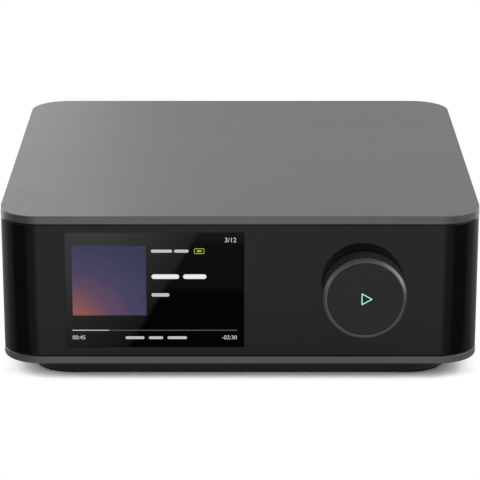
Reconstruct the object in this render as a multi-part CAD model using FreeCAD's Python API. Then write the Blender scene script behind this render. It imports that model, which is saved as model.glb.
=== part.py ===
"""Streaming amplifier in a low square aluminium case, built from its separate pieces.

Millimetres. +X is to the right seen from the front, the front looks along -Y and +Z is up.
The origin is on the table under the middle of the case. Each piece is its own node.
"""
import FreeCAD, Part
import math
import os

V = FreeCAD.Vector

# Case: overall sizes
body_w = 200.0
body_d = 192.0
corner_r = 17.0
foot_h = 8.5
band_t = 3.2
front_h = 57.9
top_t = 3.4
wall = 2.4
edge_break = 0.6
seam = 0.3
seat = 0.1

# How far a cut runs past the faces that it goes through
past = 1.0

# Plinth, pads and case screws
plinth_inset = 12.0
plinth_w = 15.0
plinth_corner = 6.0
pad_side = 9.0
pad_corner = 2.0
pad_sunk = 1.0
pad_proud = 0.6
pillar_r = 4.0
pillar_in_y = 27.0
case_screw_r = 1.5
case_head_r = 2.8
case_head_t = 2.2
case_screw_grip = 10.0
hole_play = 0.25

# Vent slots in the base
vent_l = 34.0
vent_w = 3.2
vent_pitch = 13.0
vent_rows = 2
vent_columns = 6
vent_row_pitch = 44.0

# Front panel, its carrier and the screen; glass_in is from the left side of the case
panel_t = 2.2
panel_set_in = 0.2
frame_t = 2.0
frame_lap = 8.0
glass_in = 27.6
glass_low = 4.2
glass_high = 3.7
glass_w = 74.0
glass_play = 0.1
module_w = 82.94
module_lap = 2.33
module_t = 2.9
module_shift = 1.2
module_play = 0.3
backing_t = 0.8
backing_side = 3.0
backing_lift = 5.0
rib_w = 1.6

# Volume knob, knob_in from the right side; distances out are counted from the case front
knob_in = 48.6
knob_raised = 0.35
ring_r = 17.25
ring_out = 11.5
ring_gap = 0.45
ring_edge_radial = 1.9
ring_edge_axial = 1.0
ring_skirt_wall = 2.0
web_t = 2.0
web_out = 8.4
hub_r = 5.2
cap_play = 0.12
cap_t = 1.4
cap_travel = 0.6
guide_r = 1.4
guide_head_r = 3.2
guide_head_t = 0.9
rotor_r = 3.0
rotor_bore_r = 1.8
rotor_disc_r = 5.6
rotor_disc_t = 1.6
running_play = 0.05
press_play = 0.02
axial_play = 0.3
bushing_r = 4.6
bushing_out = 3.0
encoder_side = 16.0
encoder_t = 6.0
encoder_cover_t = 1.2
encoder_pin = 0.8
encoder_pin_in = 1.0
encoder_pin_pitch = 5.0
nut_across = 13.0
nut_t = 2.0
stem_hole_r = 2.2
switch_side = 6.0
switch_t = 3.5
switch_gap = 1.0
stem_in_switch = 1.2
knob_board_w = 30.0
knob_board_h = 34.0
board_t = 1.6
boss_r = 2.4
boss_x = 11.5
boss_z = 13.0
lamp_size = 1.6
lamp_h = 0.7
lamp_offset = 5.0

# Circuit boards and what holds them; board_in is from either side of the case
board_lift = 5.7
board_in = 26.0
board_end_in = 12.0
board_gap = 6.0
power_w = 50.0
power_front_in = 30.0
board_hole_in = 5.0
board_hole_rear = 15.0
standoff_across = 5.0
screw_r = 1.25
screw_head_r = 2.5
screw_head_t = 1.5
screw_grip = 4.0

# Rear panel and its window
window_in = 24.0
window_low = 3.6
window_high = 3.6
window_corner = 3.0
rear_t = 2.0
rear_side_gap = 1.0
upper_row_drop = 19.6
cutout_play = 0.2
socket_proud = 1.0

# Mains inlet, inlet_in from the left side
inlet_in = 44.0
inlet_w = 25.0
inlet_h = 13.4
inlet_l = 21.0
inlet_pole_r = 4.4
inlet_pole_pitch = 8.6
inlet_bridge_h = 6.16
inlet_depth = 15.0
pin_r = 1.18
pin_l = 9.5

# Speaker posts, post_in from the left side; distances out are counted from the rear panel
posts = 4
post_in = 35.0
post_pitch = 19.0
stud_r = 3.0
stud_out = 12.4
stud_in = 13.5
banana_r = 2.05
banana_l = 12.0
collar_across = 13.0
collar_t = 3.0
clamp_across = 10.4
clamp_t = 1.4
clamp_gap = 0.05
post_cap_r = 6.0
post_cap_flutes = 12
post_cap_flute_depth = 0.5
post_cap_end = 13.9
post_cap_wall = 1.4
post_thread_play = 0.12
post_mouth_r = 2.35
post_nut_across = 8.0
post_nut_t = 2.4

# Phono sockets, phono_in from the right side
phonos = 3
phono_in = 34.0
phono_pitch = 15.0
phono_barrel_r = 4.15
phono_base_r = 4.4
phono_bore_r = 3.3
phono_pin_r = 1.65
phono_out = 9.0
phono_seat = 4.0
phono_block_h = 13.0
phono_margin = 7.5
phono_pin_l = 8.0

# Sockets on the main board: width, length and height, then their openings
lan_size = (16.2, 21.5, 13.5)
lan_plug_w = 11.9
lan_plug_z = (9.2, 1.8)
lan_latch_w = 6.2
lan_latch_z = (11.6, 9.0)
lan_depth = 14.0
usb_size = (13.2, 17.0, 6.2)
usb_hole = (12.5, 5.12)
usb_depth = 12.0
usb_tongue_w = 11.1
usb_tongue_z = (0.3, 2.14)
hdmi_size = (15.0, 12.5, 5.9)
hdmi_hole = (14.0, 4.56)
hdmi_corner = 1.6
hdmi_depth = 9.0
hdmi_tongue = (11.7, 1.6)
hdmi_tongue_lift = 0.2
tongue_in = 1.0
optical_size = (10.4, 14.5, 10.8)
optical_bore = (7.2, 8.5, 7.2)
shutter_play = 0.2
shutter_t = 0.7
shutter_in = 0.95
hinge_r = 0.5
hinge_drop = 0.7
hinge_end = 0.8
trigger_size = (7.0, 13.0, 6.4)
trigger_r = 1.8
trigger_l = 11.0
trigger_nose_r = 2.9
trigger_nose_l = 0.8

# Upright board behind the posts
terminal_gap = 10.0
terminal_clear = 3.5
terminal_drop = 5.6
header_t = 5.0
header_lap = 3.0

# Parts on the main board, from its ends and from the front or rear of the case
sink_in = (20.0, 16.0)
sink_rear_in = 42.0
sink_l = 40.0
sink_base_t = 4.0
sink_fin_h = 15.0
sink_fin_t = 1.4
sink_fins = 10
sink_foot = 3.0
chip_size = (11.0, 8.0, 1.2)
coils = 4
coil_pitch = 16.0
coil_rear_in = 33.0
coil_side = 10.5
coil_h = 9.0
coil_chamfer = 1.6
can_in = 24.0
can_front_in = 50.0
can_size = (40.0, 32.0, 4.0)
can_t = 0.4
can_chip = 15.0
flex_t = 0.3
plug_size = (5.0, 2.4)
plug_margin = 1.0
display_flex_in = 8.5
display_flex_w = 13.0
display_flex_bend = 1.0
display_plug_in = 16.0
knob_flex_w = 10.0
knob_flex_lap = 4.0
knob_flex_bend = 0.7
knob_plug_in = 22.0

# Parts on the power board, from its sides and from the front or rear of the case
big_cap_r = 9.0
big_cap_h = 31.0
big_cap_in = 12.0
big_cap_front_in = (81.0, 102.0)
small_cap_r = 5.0
small_cap_h = 20.0
small_cap_in = 7.0
small_cap_front_in = (72.0, 84.5, 97.0)
core_size = (31.0, 28.0, 24.0)
core_in = 30.0
core_front_in = 49.0
core_leg_t = 6.0
choke_size = (20.0, 16.0, 18.0)
choke_in = 17.0
choke_rear_in = 52.0
choke_leg_t = 4.0
choke_gap = 1.5
link_front_in = (112.0, 122.0)
link_in = 2.0
link_w = 4.0
link_t = 0.8
link_rise = 4.0
link_foot = 4.0

# Antennas inside the front carrier
antenna_size = (0.8, 7.0, 30.0)
antenna_drop = 10.6
antenna_gap = 0.5

# Levels, planes and places worked out from the sizes above
base_z = (foot_h, foot_h + band_t)
cavity_z = (base_z[1], base_z[1] + front_h)
top_z = (cavity_z[1], cavity_z[1] + top_t)
front_y = -body_d / 2
rear_y = body_d / 2
side_x = body_w / 2
corner_y = front_y + corner_r
pillar_in_x = plinth_inset + plinth_w / 2
pillars = [(x, y) for x in (pillar_in_x - side_x, side_x - pillar_in_x)
           for y in (front_y + pillar_in_y, rear_y - pillar_in_y)]
panel_y = (front_y + panel_set_in, front_y + panel_set_in + panel_t)
frame_off = max(panel_set_in + panel_t, wall) + seat
frame_y = (front_y + frame_off, front_y + frame_off + frame_t)
glass_h = front_h - glass_low - glass_high
display_x = glass_in + glass_w / 2 - side_x
display_z = cavity_z[0] + glass_low + glass_h / 2
module_x = display_x - module_shift
module_h = glass_h + 2 * module_lap
module_y = (panel_y[1], panel_y[1] + module_t)
backing_y = (module_y[1], module_y[1] + backing_t)
knob_x = side_x - knob_in
knob_z = cavity_z[0] + front_h / 2 + knob_raised
cap_bore_r = ring_r - ring_edge_radial
encoder_out = (front_y - frame_y[1], front_y - frame_y[1] - encoder_t)
cover_out = (encoder_out[1], encoder_out[1] - encoder_cover_t)
switch_out = (cover_out[1] - switch_gap, cover_out[1] - switch_gap - switch_t)
knob_board_out = (switch_out[1], switch_out[1] - board_t)
panel_face_y = rear_y - wall
rear_panel_y = (panel_face_y - rear_t, panel_face_y)
socket_face_y = panel_face_y + socket_proud
terminal_y = (rear_panel_y[0] - terminal_gap - board_t, rear_panel_y[0] - terminal_gap)
board_z = (base_z[1] + board_lift, base_z[1] + board_lift + board_t)
board_top = board_z[1]
power_x = (board_in - side_x, board_in - side_x + power_w)
power_y = (front_y + power_front_in, rear_y - board_end_in)
main_x = (power_x[1] + board_gap, side_x - board_in)
main_y = (front_y + board_end_in, rear_y - board_end_in)
upper_row_z = cavity_z[1] - upper_row_drop
terminal_x = (board_in - side_x, side_x - board_in)
terminal_z = (board_top + lan_size[2] + terminal_clear, cavity_z[1] - terminal_drop)
inlet_x = inlet_in - side_x
post_x = [post_in - side_x + i * post_pitch for i in range(posts)]
phono_x = [side_x - phono_in - i * phono_pitch for i in range(phonos)]
sink_x = (main_x[0] + sink_in[0], main_x[1] - sink_in[1])
sink_y = (rear_y - sink_rear_in - sink_l, rear_y - sink_rear_in)
can_x = (main_x[0] + can_in, main_x[0] + can_in + can_size[0])
can_y = (front_y + can_front_in, front_y + can_front_in + can_size[1])
display_flex_x = (main_x[0] + display_flex_in, main_x[0] + display_flex_in + display_flex_w)
display_plug_y = front_y + display_plug_in
knob_plug_y = front_y + knob_plug_in

# The sockets of the main board stand along its rear edge, right to left, with even gaps
row_sizes = (lan_size, usb_size, hdmi_size, optical_size, trigger_size)
row_gap = (main_x[1] - main_x[0] - sum(size[0] for size in row_sizes)) / (len(row_sizes) + 1)
row_x = []
row_edge = main_x[1]
for size in row_sizes:
    row_x.append(row_edge - row_gap - size[0] / 2)
    row_edge -= row_gap + size[0]
lan_x, usb_x, hdmi_x, optical_x, trigger_x = row_x
header_x = (optical_x - optical_size[0] / 2, hdmi_x + hdmi_size[0] / 2)


def span(middle, size):
    """Low and high ends of a length about its middle."""
    return (middle - size / 2, middle + size / 2)


def block(x, y, z):
    """Square-cornered block between the given ends."""
    return Part.makeBox(x[1] - x[0], y[1] - y[0], z[1] - z[0], V(x[0], y[0], z[0]))


def rounded(x, y, z, radius, along):
    """Block whose four edges along one axis are rounded."""
    solid = block(x, y, z)
    edges = [e for e in solid.Edges if abs(e.tangentAt(e.FirstParameter).dot(along)) > 0.9]
    return solid.makeFillet(radius, edges)


def plan(inset, z, radius=None):
    """Slab with the outline of the case, set in by a distance."""
    half_x = side_x - inset
    half_y = rear_y - inset
    corner = corner_r - inset if radius is None else radius
    return rounded((-half_x, half_x), (-half_y, half_y), z, corner, V(0, 0, 1))


def rod_y(radius, x, y, z):
    """Round rod from front to back."""
    return Part.makeCylinder(radius, y[1] - y[0], V(x, y[0], z), V(0, 1, 0))


def rod_out(radius, out):
    """Round rod on the knob axis between two distances out from the case front."""
    low, high = min(out), max(out)
    return rod_y(radius, knob_x, (front_y - high, front_y - low), knob_z)


def at_knob(out):
    """Front to back ends for two distances out from the case front."""
    return (front_y - max(out), front_y - min(out))


def rod_rear(radius, x, z, out):
    """Round rod on a rear terminal between two distances out from the rear panel."""
    return rod_y(radius, x, (panel_face_y + out[0], panel_face_y + out[1]), z)


def polygon_y(points, y):
    """Prism from front to back with a straight-sided outline of (x, z) points."""
    corners = [V(px, y[0], pz) for px, pz in points]
    face = Part.Face(Part.makePolygon(corners + corners[:1]))
    return face.extrude(V(0, y[1] - y[0], 0))


def polygon_x(points, x):
    """Prism from side to side with a straight-sided outline of (y, z) points."""
    corners = [V(x[0], py, pz) for py, pz in points]
    face = Part.Face(Part.makePolygon(corners + corners[:1]))
    return face.extrude(V(x[1] - x[0], 0, 0))


def polygon_z(points, z):
    """Upright prism with a straight-sided outline of (x, y) points."""
    corners = [V(px, py, z[0]) for px, py in points]
    face = Part.Face(Part.makePolygon(corners + corners[:1]))
    return face.extrude(V(0, 0, z[1] - z[0]))


def facets(sides, radius, middle):
    """Corners of a many-sided outline on a circle, with flats to the sides."""
    turns = [math.pi * (2 * i + 1) / sides for i in range(sides)]
    return [(middle[0] + radius * math.cos(t), middle[1] + radius * math.sin(t)) for t in turns]


def hexagon(middle, across):
    """Corners of a hexagon from its width across flats."""
    return facets(6, across / math.sqrt(3), middle)


def bar_z(radius, x, y, z, sides=8):
    """Upright many-sided bar whose corners lie on the radius."""
    return polygon_z(facets(sides, radius, (x, y)), z)


def bar_y(radius, x, y, z, sides=8):
    """Many-sided bar from front to back whose corners lie on the radius."""
    return polygon_y(facets(sides, radius, (x, z)), y)


def hole_z(radius, x, y, z, sides=8):
    """Upright many-sided hole whose flats clear a rod of the radius."""
    return bar_z(radius / math.cos(math.pi / sides), x, y, z, sides)


def hole_y(radius, x, y, z, sides=8):
    """Many-sided hole from front to back whose flats clear a rod of the radius."""
    return bar_y(radius / math.cos(math.pi / sides), x, y, z, sides)


def cut_corners(x, y, corner):
    """Upright rectangle outline between the given ends with its corners cut."""
    return [(x[1], y[0] + corner), (x[1], y[1] - corner), (x[1] - corner, y[1]),
            (x[0] + corner, y[1]), (x[0], y[1] - corner), (x[0], y[0] + corner),
            (x[0] + corner, y[0]), (x[1] - corner, y[0])]


def turned(profile, x, z):
    """Body turned on an axis from front to back; the profile is (radius, y) corners."""
    corners = [V(x + radius, y, z) for radius, y in profile]
    face = Part.Face(Part.makePolygon(corners + corners[:1]))
    return face.revolve(V(x, 0, z), V(0, 1, 0), 360)


def group(pieces):
    """Separate solids that share one node."""
    return Part.makeCompound(pieces)


def less(solid, cuts):
    """A solid with every cut taken away."""
    return solid.cut(cuts) if cuts else solid


def housing():
    """Aluminium shell: top, sides and rear wall in one, open to the front and below."""
    shell = plan(0, (base_z[1], top_z[1]))
    rim = [e for e in shell.Edges if all(abs(v.Z - top_z[1]) < 0.01 for v in e.Vertexes)]
    shell = shell.makeChamfer(edge_break, rim)
    hollow = plan(wall, (base_z[1] - past, cavity_z[1]))
    mouth = block((-body_w, body_w), (-body_d, corner_y), (base_z[1] - past, cavity_z[1]))
    window_z = (cavity_z[0] + window_low, cavity_z[1] - window_high)
    window = rounded((window_in - side_x, side_x - window_in), (panel_face_y - past, rear_y + past),
                     window_z, window_corner, V(0, 1, 0))
    shell = less(shell, [hollow, mouth, window])
    posts = [bar_z(pillar_r, x, y, (cavity_z[0], cavity_z[1] + past)) for x, y in pillars]
    bore_z = (cavity_z[0] - past, cavity_z[0] + case_screw_grip + past)
    bores = [hole_z(case_screw_r + press_play, x, y, bore_z) for x, y in pillars]
    return less(shell.fuse(posts), bores)


def slot_outline(x, y):
    """Vent slot with pointed ends, about its middle."""
    half = vent_w / 2
    end = vent_l / 2
    return [(x - half, y - end + half), (x, y - end), (x + half, y - end + half),
            (x + half, y + end - half), (x, y + end), (x - half, y + end - half)]


def base_plate():
    """Aluminium bottom plate, seen from the front as the grey band, with vent slots."""
    plate = plan(0, base_z)
    deep = (base_z[0] - past, base_z[1] + past)
    holes = [hole_z(case_screw_r + hole_play, x, y, deep) for x, y in pillars]
    for row in range(vent_rows):
        y = (row - (vent_rows - 1) / 2) * vent_row_pitch
        for column in range(vent_columns):
            x = (column - (vent_columns - 1) / 2) * vent_pitch
            holes.append(polygon_z(slot_outline(x, y), deep))
    return less(plate, holes)


def plinth():
    """Black moulded ring under the case, with seats for the pads and the screw heads."""
    level = (pad_proud, base_z[0])
    ring = plan(plinth_inset, level, corner_r)
    half_x = side_x - plinth_inset - plinth_w
    half_y = rear_y - plinth_inset - plinth_w
    inner = polygon_z(cut_corners((-half_x, half_x), (-half_y, half_y), plinth_corner),
                      (level[0] - past, level[1] + past))
    pad_top = pad_proud + pad_sunk
    cuts = [inner]
    for x, y in pillars:
        pad_hole = pad_side + 2 * hole_play
        cuts.append(block(span(x, pad_hole), span(y, pad_hole), (0, pad_top)))
        cuts.append(hole_z(case_head_r, x, y, (0, pad_top + case_head_t + hole_play)))
        cuts.append(hole_z(case_screw_r + hole_play, x, y, (0, base_z[0] + past)))
    return less(ring, cuts)


def foot_pads():
    """Four rubber pads let into the plinth; they cover the case screws."""
    pads = []
    for x, y in pillars:
        outline = cut_corners(span(x, pad_side), span(y, pad_side), pad_corner)
        pads.append(polygon_z(outline, (0, pad_proud + pad_sunk)))
    return group(pads)


def case_screws():
    """Four long screws from below, through plinth and base plate into the pillars."""
    pieces = []
    head = (pad_proud + pad_sunk + hole_play, pad_proud + pad_sunk + hole_play + case_head_t)
    for x, y in pillars:
        shank = bar_z(case_screw_r, x, y, (head[0], cavity_z[0] + case_screw_grip))
        pieces.append(bar_z(case_head_r, x, y, head).fuse(shank).removeSplitter())
    return group(pieces)


def front_half(inset, depth, z, back_y):
    """Wrap-round wall behind the front outline, ending at a plane on each side."""
    wall_ring = less(plan(inset, z), [plan(inset + depth, (z[0] - past, z[1] + past))])
    return wall_ring.common(block((-body_w, body_w), (-body_d, back_y), (z[0] - past, z[1] + past)))


def front_panel():
    """Glossy black front that wraps both corners, with the screen window and knob hole."""
    level = (cavity_z[0] + seam, cavity_z[1] - seam)
    shell = front_half(panel_set_in, panel_t, level, corner_y - seam)
    through = (panel_y[0] - past, panel_y[1] + past)
    window = block(span(display_x, glass_w + 2 * glass_play), through,
                   span(display_z, glass_h + 2 * glass_play))
    return less(shell, [window, rod_y(bushing_r + hole_play, knob_x, through, knob_z)])


def front_frame():
    """Moulded carrier glued behind the front panel, lapped inside the side walls."""
    level = (cavity_z[0], cavity_z[1] - seat)
    shell = front_half(frame_off, frame_t, level, corner_y + frame_lap)
    through = (frame_y[0] - past, frame_y[1] + past)
    opening = block(span(module_x, module_w + 2 * module_play), through,
                    span(display_z, module_h + 2 * module_play))
    shell = less(shell, [opening, hole_y(bushing_r + hole_play, knob_x, through, knob_z, 16)])
    ribs = []
    if backing_y[0] > frame_y[1]:
        for side in (-1, 1):
            edge = module_x + side * (module_w / 2 + module_play + rib_w / 2)
            ribs.append(block(span(edge, rib_w), (frame_y[1], backing_y[0]), span(display_z, glass_h)))
    board_front = front_y - knob_board_out[0]
    for side in (-1, 1):
        ribs.append(bar_y(boss_r, knob_x + side * boss_x, (frame_y[1], board_front),
                          knob_z + side * boss_z))
    shell = shell.fuse(ribs)
    pilots = [hole_y(screw_r + press_play, knob_x + side * boss_x,
                    (board_front - screw_grip - past, board_front + past), knob_z + side * boss_z)
              for side in (-1, 1)]
    return less(shell, pilots)


def display_glass():
    """Cover glass of the screen, flush in the panel's window."""
    return block(span(display_x, glass_w), panel_y, span(display_z, glass_h))


def display_module():
    """Liquid crystal panel with its backlight, behind the glass."""
    return block(span(module_x, module_w), module_y, span(display_z, module_h))


def display_backing():
    """Sheet steel plate behind the screen, resting on the carrier's ribs."""
    low = display_z - module_h / 2 + backing_lift
    high = display_z + module_h / 2 - backing_lift
    plate = block(span(module_x, module_w + 2 * backing_side), backing_y, (low, high))
    relief = block(span(module_x, module_w / 2), (backing_y[0] - past, backing_y[1] + past),
                   span(display_z, (high - low) / 2))
    return less(plate, [relief])


def ribbon(points, thickness, x):
    """Flat cable along (y, z) points, its thickness laid to one side of them."""
    outward = []
    for i, (y, z) in enumerate(points):
        before = points[max(i - 1, 0)]
        after = points[min(i + 1, len(points) - 1)]
        run_in = V(0, y - before[0], z - before[1])
        run_out = V(0, after[0] - y, after[1] - z)
        if run_in.Length < 0.001:
            run_in = run_out
        if run_out.Length < 0.001:
            run_out = run_in
        run_in.normalize()
        run_out.normalize()
        mid = run_in + run_out
        mid.normalize()
        reach = thickness / max(mid.dot(run_in), 0.3)
        outward.append((y - mid.z * reach, z + mid.y * reach))
    return polygon_x(points + outward[::-1], x)


def display_flex():
    """Flat cable from the bottom of the screen to its plug on the main board."""
    start_z = display_z - module_h / 2 + backing_lift / 2
    plug_low = (display_plug_y - plug_size[0] / 2, board_top + plug_size[1] / 2)
    bend_y = (module_y[1] + plug_low[0]) / 2
    points = [(module_y[1], start_z), (bend_y - display_flex_bend, start_z),
              (bend_y + display_flex_bend, plug_low[1]), plug_low]
    return ribbon(points, flex_t, display_flex_x)


def volume_ring():
    """Turning aluminium knob: bevelled rim, inner web and the hub on the hollow shaft."""
    rim_y = front_y - ring_out
    edge_y = rim_y + ring_edge_axial
    skirt_y = front_y - ring_gap
    web_y = (front_y - web_out, front_y - web_out + web_t)
    hub_y = front_y - bushing_out - ring_gap
    bore = rotor_r + press_play
    lean = math.radians(45)
    mid = (ring_r - ring_edge_radial * (1 - math.cos(lean)), edge_y - ring_edge_axial * math.sin(lean))
    body = turned([(cap_bore_r, rim_y), (cap_bore_r, web_y[0]), (bore, web_y[0]), (bore, skirt_y),
                   (ring_r, skirt_y), (ring_r, edge_y), mid], knob_x, knob_z)
    hollow = bar_y(ring_r - ring_skirt_wall, knob_x, (web_y[1], skirt_y + past), knob_z, 16)
    hub = bar_y(hub_r, knob_x, (web_y[1] - past, hub_y), knob_z)
    return less(body, [hollow.cut(hub)]).removeSplitter()


def press_cap():
    """Round black face in the ring; it is pushed in and does not turn."""
    radius = cap_bore_r - cap_play
    face_out = ring_out
    back_out = face_out - cap_t
    disc = rod_out(radius, (back_out, face_out))
    seat_y = at_knob((back_out - past, back_out + guide_head_t))
    return less(disc, [hole_y(guide_head_r, knob_x, seat_y, knob_z)])


def light_guide():
    """Clear stem behind the cap, through the hollow shaft into the push switch."""
    back_out = ring_out - cap_t
    head = bar_y(guide_head_r, knob_x, at_knob((back_out, back_out + guide_head_t)), knob_z)
    stem_y = at_knob((switch_out[0] - stem_in_switch, back_out + guide_head_t / 2))
    stem = bar_y(guide_r, knob_x, stem_y, knob_z)
    return head.fuse(stem).removeSplitter()


def encoder_body():
    """Fixed case of the encoder with its round bushing, hollow for the turning disc."""
    case = block(span(knob_x, encoder_side), at_knob(encoder_out), span(knob_z, encoder_side))
    bushing = rod_out(bushing_r, (encoder_out[0] - past, bushing_out))
    chamber_side = 2 * (rotor_disc_r + axial_play)
    chamber_out = (encoder_out[1] - past, disc_out()[0] + axial_play)
    chamber = block(span(knob_x, chamber_side), at_knob(chamber_out), span(knob_z, chamber_side))
    bore = rod_out(rotor_r + running_play, (encoder_out[1] - past, bushing_out + past))
    return less(case.fuse(bushing), [chamber, bore]).removeSplitter()


def disc_out():
    """Distances out of the two faces of the encoder's turning disc."""
    back = encoder_out[1] + axial_play
    return (back + rotor_disc_t, back)


def encoder_cover():
    """Metal plate that closes the encoder, with pins to the knob board."""
    plate = block(span(knob_x, encoder_side), at_knob(cover_out), span(knob_z, encoder_side))
    through = at_knob((cover_out[0] + past, cover_out[1] - past))
    plate = less(plate, [hole_y(stem_hole_r, knob_x, through, knob_z)])
    pins = []
    for side in (-1, 1):
        for step in (-1, 0, 1):
            x = knob_x + side * (encoder_side / 2 - encoder_pin_in)
            pins.append(block(span(x, encoder_pin), at_knob((cover_out[1], knob_board_out[0])),
                              span(knob_z + step * encoder_pin_pitch, encoder_pin)))
    return plate.fuse(pins).removeSplitter()


def encoder_rotor():
    """Hollow shaft with its disc; it carries the volume ring."""
    shaft = rod_out(rotor_r, (disc_out()[1], web_out))
    disc = bar_y(rotor_disc_r, knob_x, at_knob(disc_out()), knob_z, 20)
    bore = hole_y(rotor_bore_r, knob_x, at_knob((disc_out()[1] - past, web_out + past)), knob_z)
    return less(shaft.fuse(disc), [bore]).removeSplitter()


def encoder_nut():
    """Thin hex nut on the bushing, clamps the encoder through carrier and panel."""
    face_out = front_y - panel_y[0]
    nut = polygon_y(hexagon((knob_x, knob_z), nut_across), at_knob((face_out, face_out + nut_t)))
    through = at_knob((face_out - past, face_out + nut_t + past))
    return less(nut, [hole_y(bushing_r, knob_x, through, knob_z, 16)])


def press_switch():
    """Push switch on the knob board, worked by the end of the clear stem."""
    case = block(span(knob_x, switch_side), at_knob(switch_out), span(knob_z, switch_side))
    well = (switch_out[0] + past, switch_out[0] - stem_in_switch - cap_travel - axial_play)
    return less(case, [hole_y(guide_r + cap_play, knob_x, at_knob(well), knob_z)])


def knob_board():
    """Circuit board behind the encoder, with the two small lamps of the play sign."""
    y = at_knob(knob_board_out)
    board = block(span(knob_x, knob_board_w), y, span(knob_z, knob_board_h))
    holes = [hole_y(screw_r + hole_play, knob_x + side * boss_x, (y[0] - past, y[1] + past),
                   knob_z + side * boss_z) for side in (-1, 1)]
    lamps = [block(span(knob_x, lamp_size), (y[0] - lamp_h, y[0]),
                   span(knob_z + side * lamp_offset, lamp_size / 2)) for side in (-1, 1)]
    return less(board, holes).fuse(lamps)


def knob_flex():
    """Flat cable from the knob board down to its plug on the main board."""
    back = front_y - knob_board_out[1]
    low = knob_z - knob_board_h / 2
    plug_z = board_top + plug_size[1] / 2
    points = [(back, low + knob_flex_lap), (back, plug_z + knob_flex_bend), (back + knob_flex_bend, plug_z),
              (knob_plug_y - plug_size[0] / 2, plug_z)]
    return ribbon(points, flex_t, span(knob_x, knob_flex_w))


def socket_places():
    """Cut-outs of the rear panel: middle x, low z, width and height."""
    places = [(lan_x, board_top, lan_size[0], lan_size[2]),
              (usb_x, board_top, usb_size[0], usb_size[2]),
              (hdmi_x, board_top, hdmi_size[0], hdmi_size[2]),
              (optical_x, board_top, optical_size[0], optical_size[2]),
              (trigger_x, board_top, trigger_size[0], trigger_size[2]),
              (inlet_x, board_top, inlet_w, inlet_h)]
    return places


def rear_panel():
    """Black moulded plate inside the rear wall, recessed by the wall, with the sockets."""
    plate = block(span(0, 2 * (side_x - corner_r - rear_side_gap)), rear_panel_y,
                  (cavity_z[0] + seam, cavity_z[1] - seam))
    through = (rear_panel_y[0] - past, rear_panel_y[1] + past)
    cuts = []
    for x, low, width, height in socket_places():
        cuts.append(block(span(x, width + 2 * cutout_play), through,
                          (low - cutout_play, low + height + cutout_play)))
    for x in post_x:
        cuts.append(hole_y(stud_r + hole_play, x, through, upper_row_z))
    for x in phono_x:
        cuts.append(bar_y(phono_base_r + hole_play, x, through, upper_row_z, 16))
    return less(plate, cuts)


def inlet_body():
    """Mains inlet body with the figure-of-eight recess."""
    z = board_top + inlet_h / 2
    body_y = (socket_face_y - inlet_l, socket_face_y)
    body = block(span(inlet_x, inlet_w), body_y, (board_top, board_top + inlet_h))
    deep = (socket_face_y - inlet_depth, socket_face_y + past)
    half = inlet_pole_pitch / 2
    poles = [bar_y(inlet_pole_r, inlet_x + side * half, deep, z, 12) for side in (-1, 1)]
    bridge = block(span(inlet_x, inlet_pole_pitch), deep, span(z, inlet_bridge_h))
    return less(body, poles + [bridge])


def inlet_pins():
    """The two mains pins on the recess floor, with tails to the power board."""
    z = board_top + inlet_h / 2
    floor_y = socket_face_y - inlet_depth
    half = inlet_pole_pitch / 2
    return group([bar_y(pin_r, inlet_x + side * half, (floor_y, floor_y + pin_l), z, 12)
                  for side in (-1, 1)])


def speaker_studs():
    """Four nickel-plated posts with flats that hold the clamp rings, bored for 4 mm plugs."""
    pieces = []
    for x in post_x:
        reach = (panel_face_y - stud_in, panel_face_y + stud_out)
        stud = bar_y(stud_r, x, reach, upper_row_z)
        socket = rod_rear(banana_r, x, upper_row_z, (stud_out - banana_l, stud_out + past))
        pieces.append(less(stud, [socket]))
    return group(pieces)


def collars(places):
    """Insulating collars between the rear panel and the clamp rings."""
    pieces = []
    for x in places:
        outline = hexagon((x, upper_row_z), collar_across)
        collar = polygon_y(outline, (panel_face_y, panel_face_y + collar_t))
        bore_y = (panel_face_y - past, panel_face_y + collar_t + past)
        pieces.append(less(collar, [hole_y(stud_r + hole_play, x, bore_y, upper_row_z)]))
    return group(pieces)


def stud_nuts():
    """Hex nuts that draw the posts against the inside of the rear panel."""
    pieces = []
    for x in post_x:
        y = (rear_panel_y[0] - post_nut_t, rear_panel_y[0])
        nut = polygon_y(hexagon((x, upper_row_z), post_nut_across), y)
        pieces.append(less(nut, [bar_y(stud_r + press_play, x, (y[0] - past, y[1] + past), upper_row_z)]))
    return group(pieces)


def clamp_ring(x):
    """Captive ring at the inner end of a post cap; the sides of the post keep it from turning."""
    low = collar_t + clamp_gap
    y = (panel_face_y + low, panel_face_y + low + clamp_t)
    ring = polygon_y(hexagon((x, upper_row_z), clamp_across), y)
    return less(ring, [bar_y(stud_r + post_thread_play, x, (y[0] - past, y[1] + past), upper_row_z)])


def post_cap(x):
    """Fluted screw cap of a speaker post, open at its end for a 4 mm plug."""
    low = collar_t + 2 * clamp_gap + clamp_t
    outline = []
    for i in range(2 * post_cap_flutes):
        radius = post_cap_r - (post_cap_flute_depth if i % 2 else 0)
        turn = math.pi * i / post_cap_flutes
        outline.append((x + radius * math.cos(turn), upper_row_z + radius * math.sin(turn)))
    cap = polygon_y(outline, (panel_face_y + low, panel_face_y + post_cap_end))
    bore_y = (panel_face_y + low - past, panel_face_y + post_cap_end - post_cap_wall)
    bore = hole_y(stud_r + post_thread_play, x, bore_y, upper_row_z, 16)
    mouth_y = (panel_face_y + low, panel_face_y + post_cap_end + past)
    mouth = hole_y(post_mouth_r, x, mouth_y, upper_row_z, 16)
    return less(cap, [bore, mouth])


def phono_block():
    """Black moulded body that holds the three phono sockets on the upright board."""
    x = (min(phono_x) - phono_margin, max(phono_x) + phono_margin)
    body = block(x, (terminal_y[1], rear_panel_y[0]), span(upper_row_z, phono_block_h))
    wells = [bar_y(phono_base_r + press_play, px, (rear_panel_y[0] - phono_seat, rear_panel_y[0] + past),
                   upper_row_z, 16) for px in phono_x]
    return less(body, wells)


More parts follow.
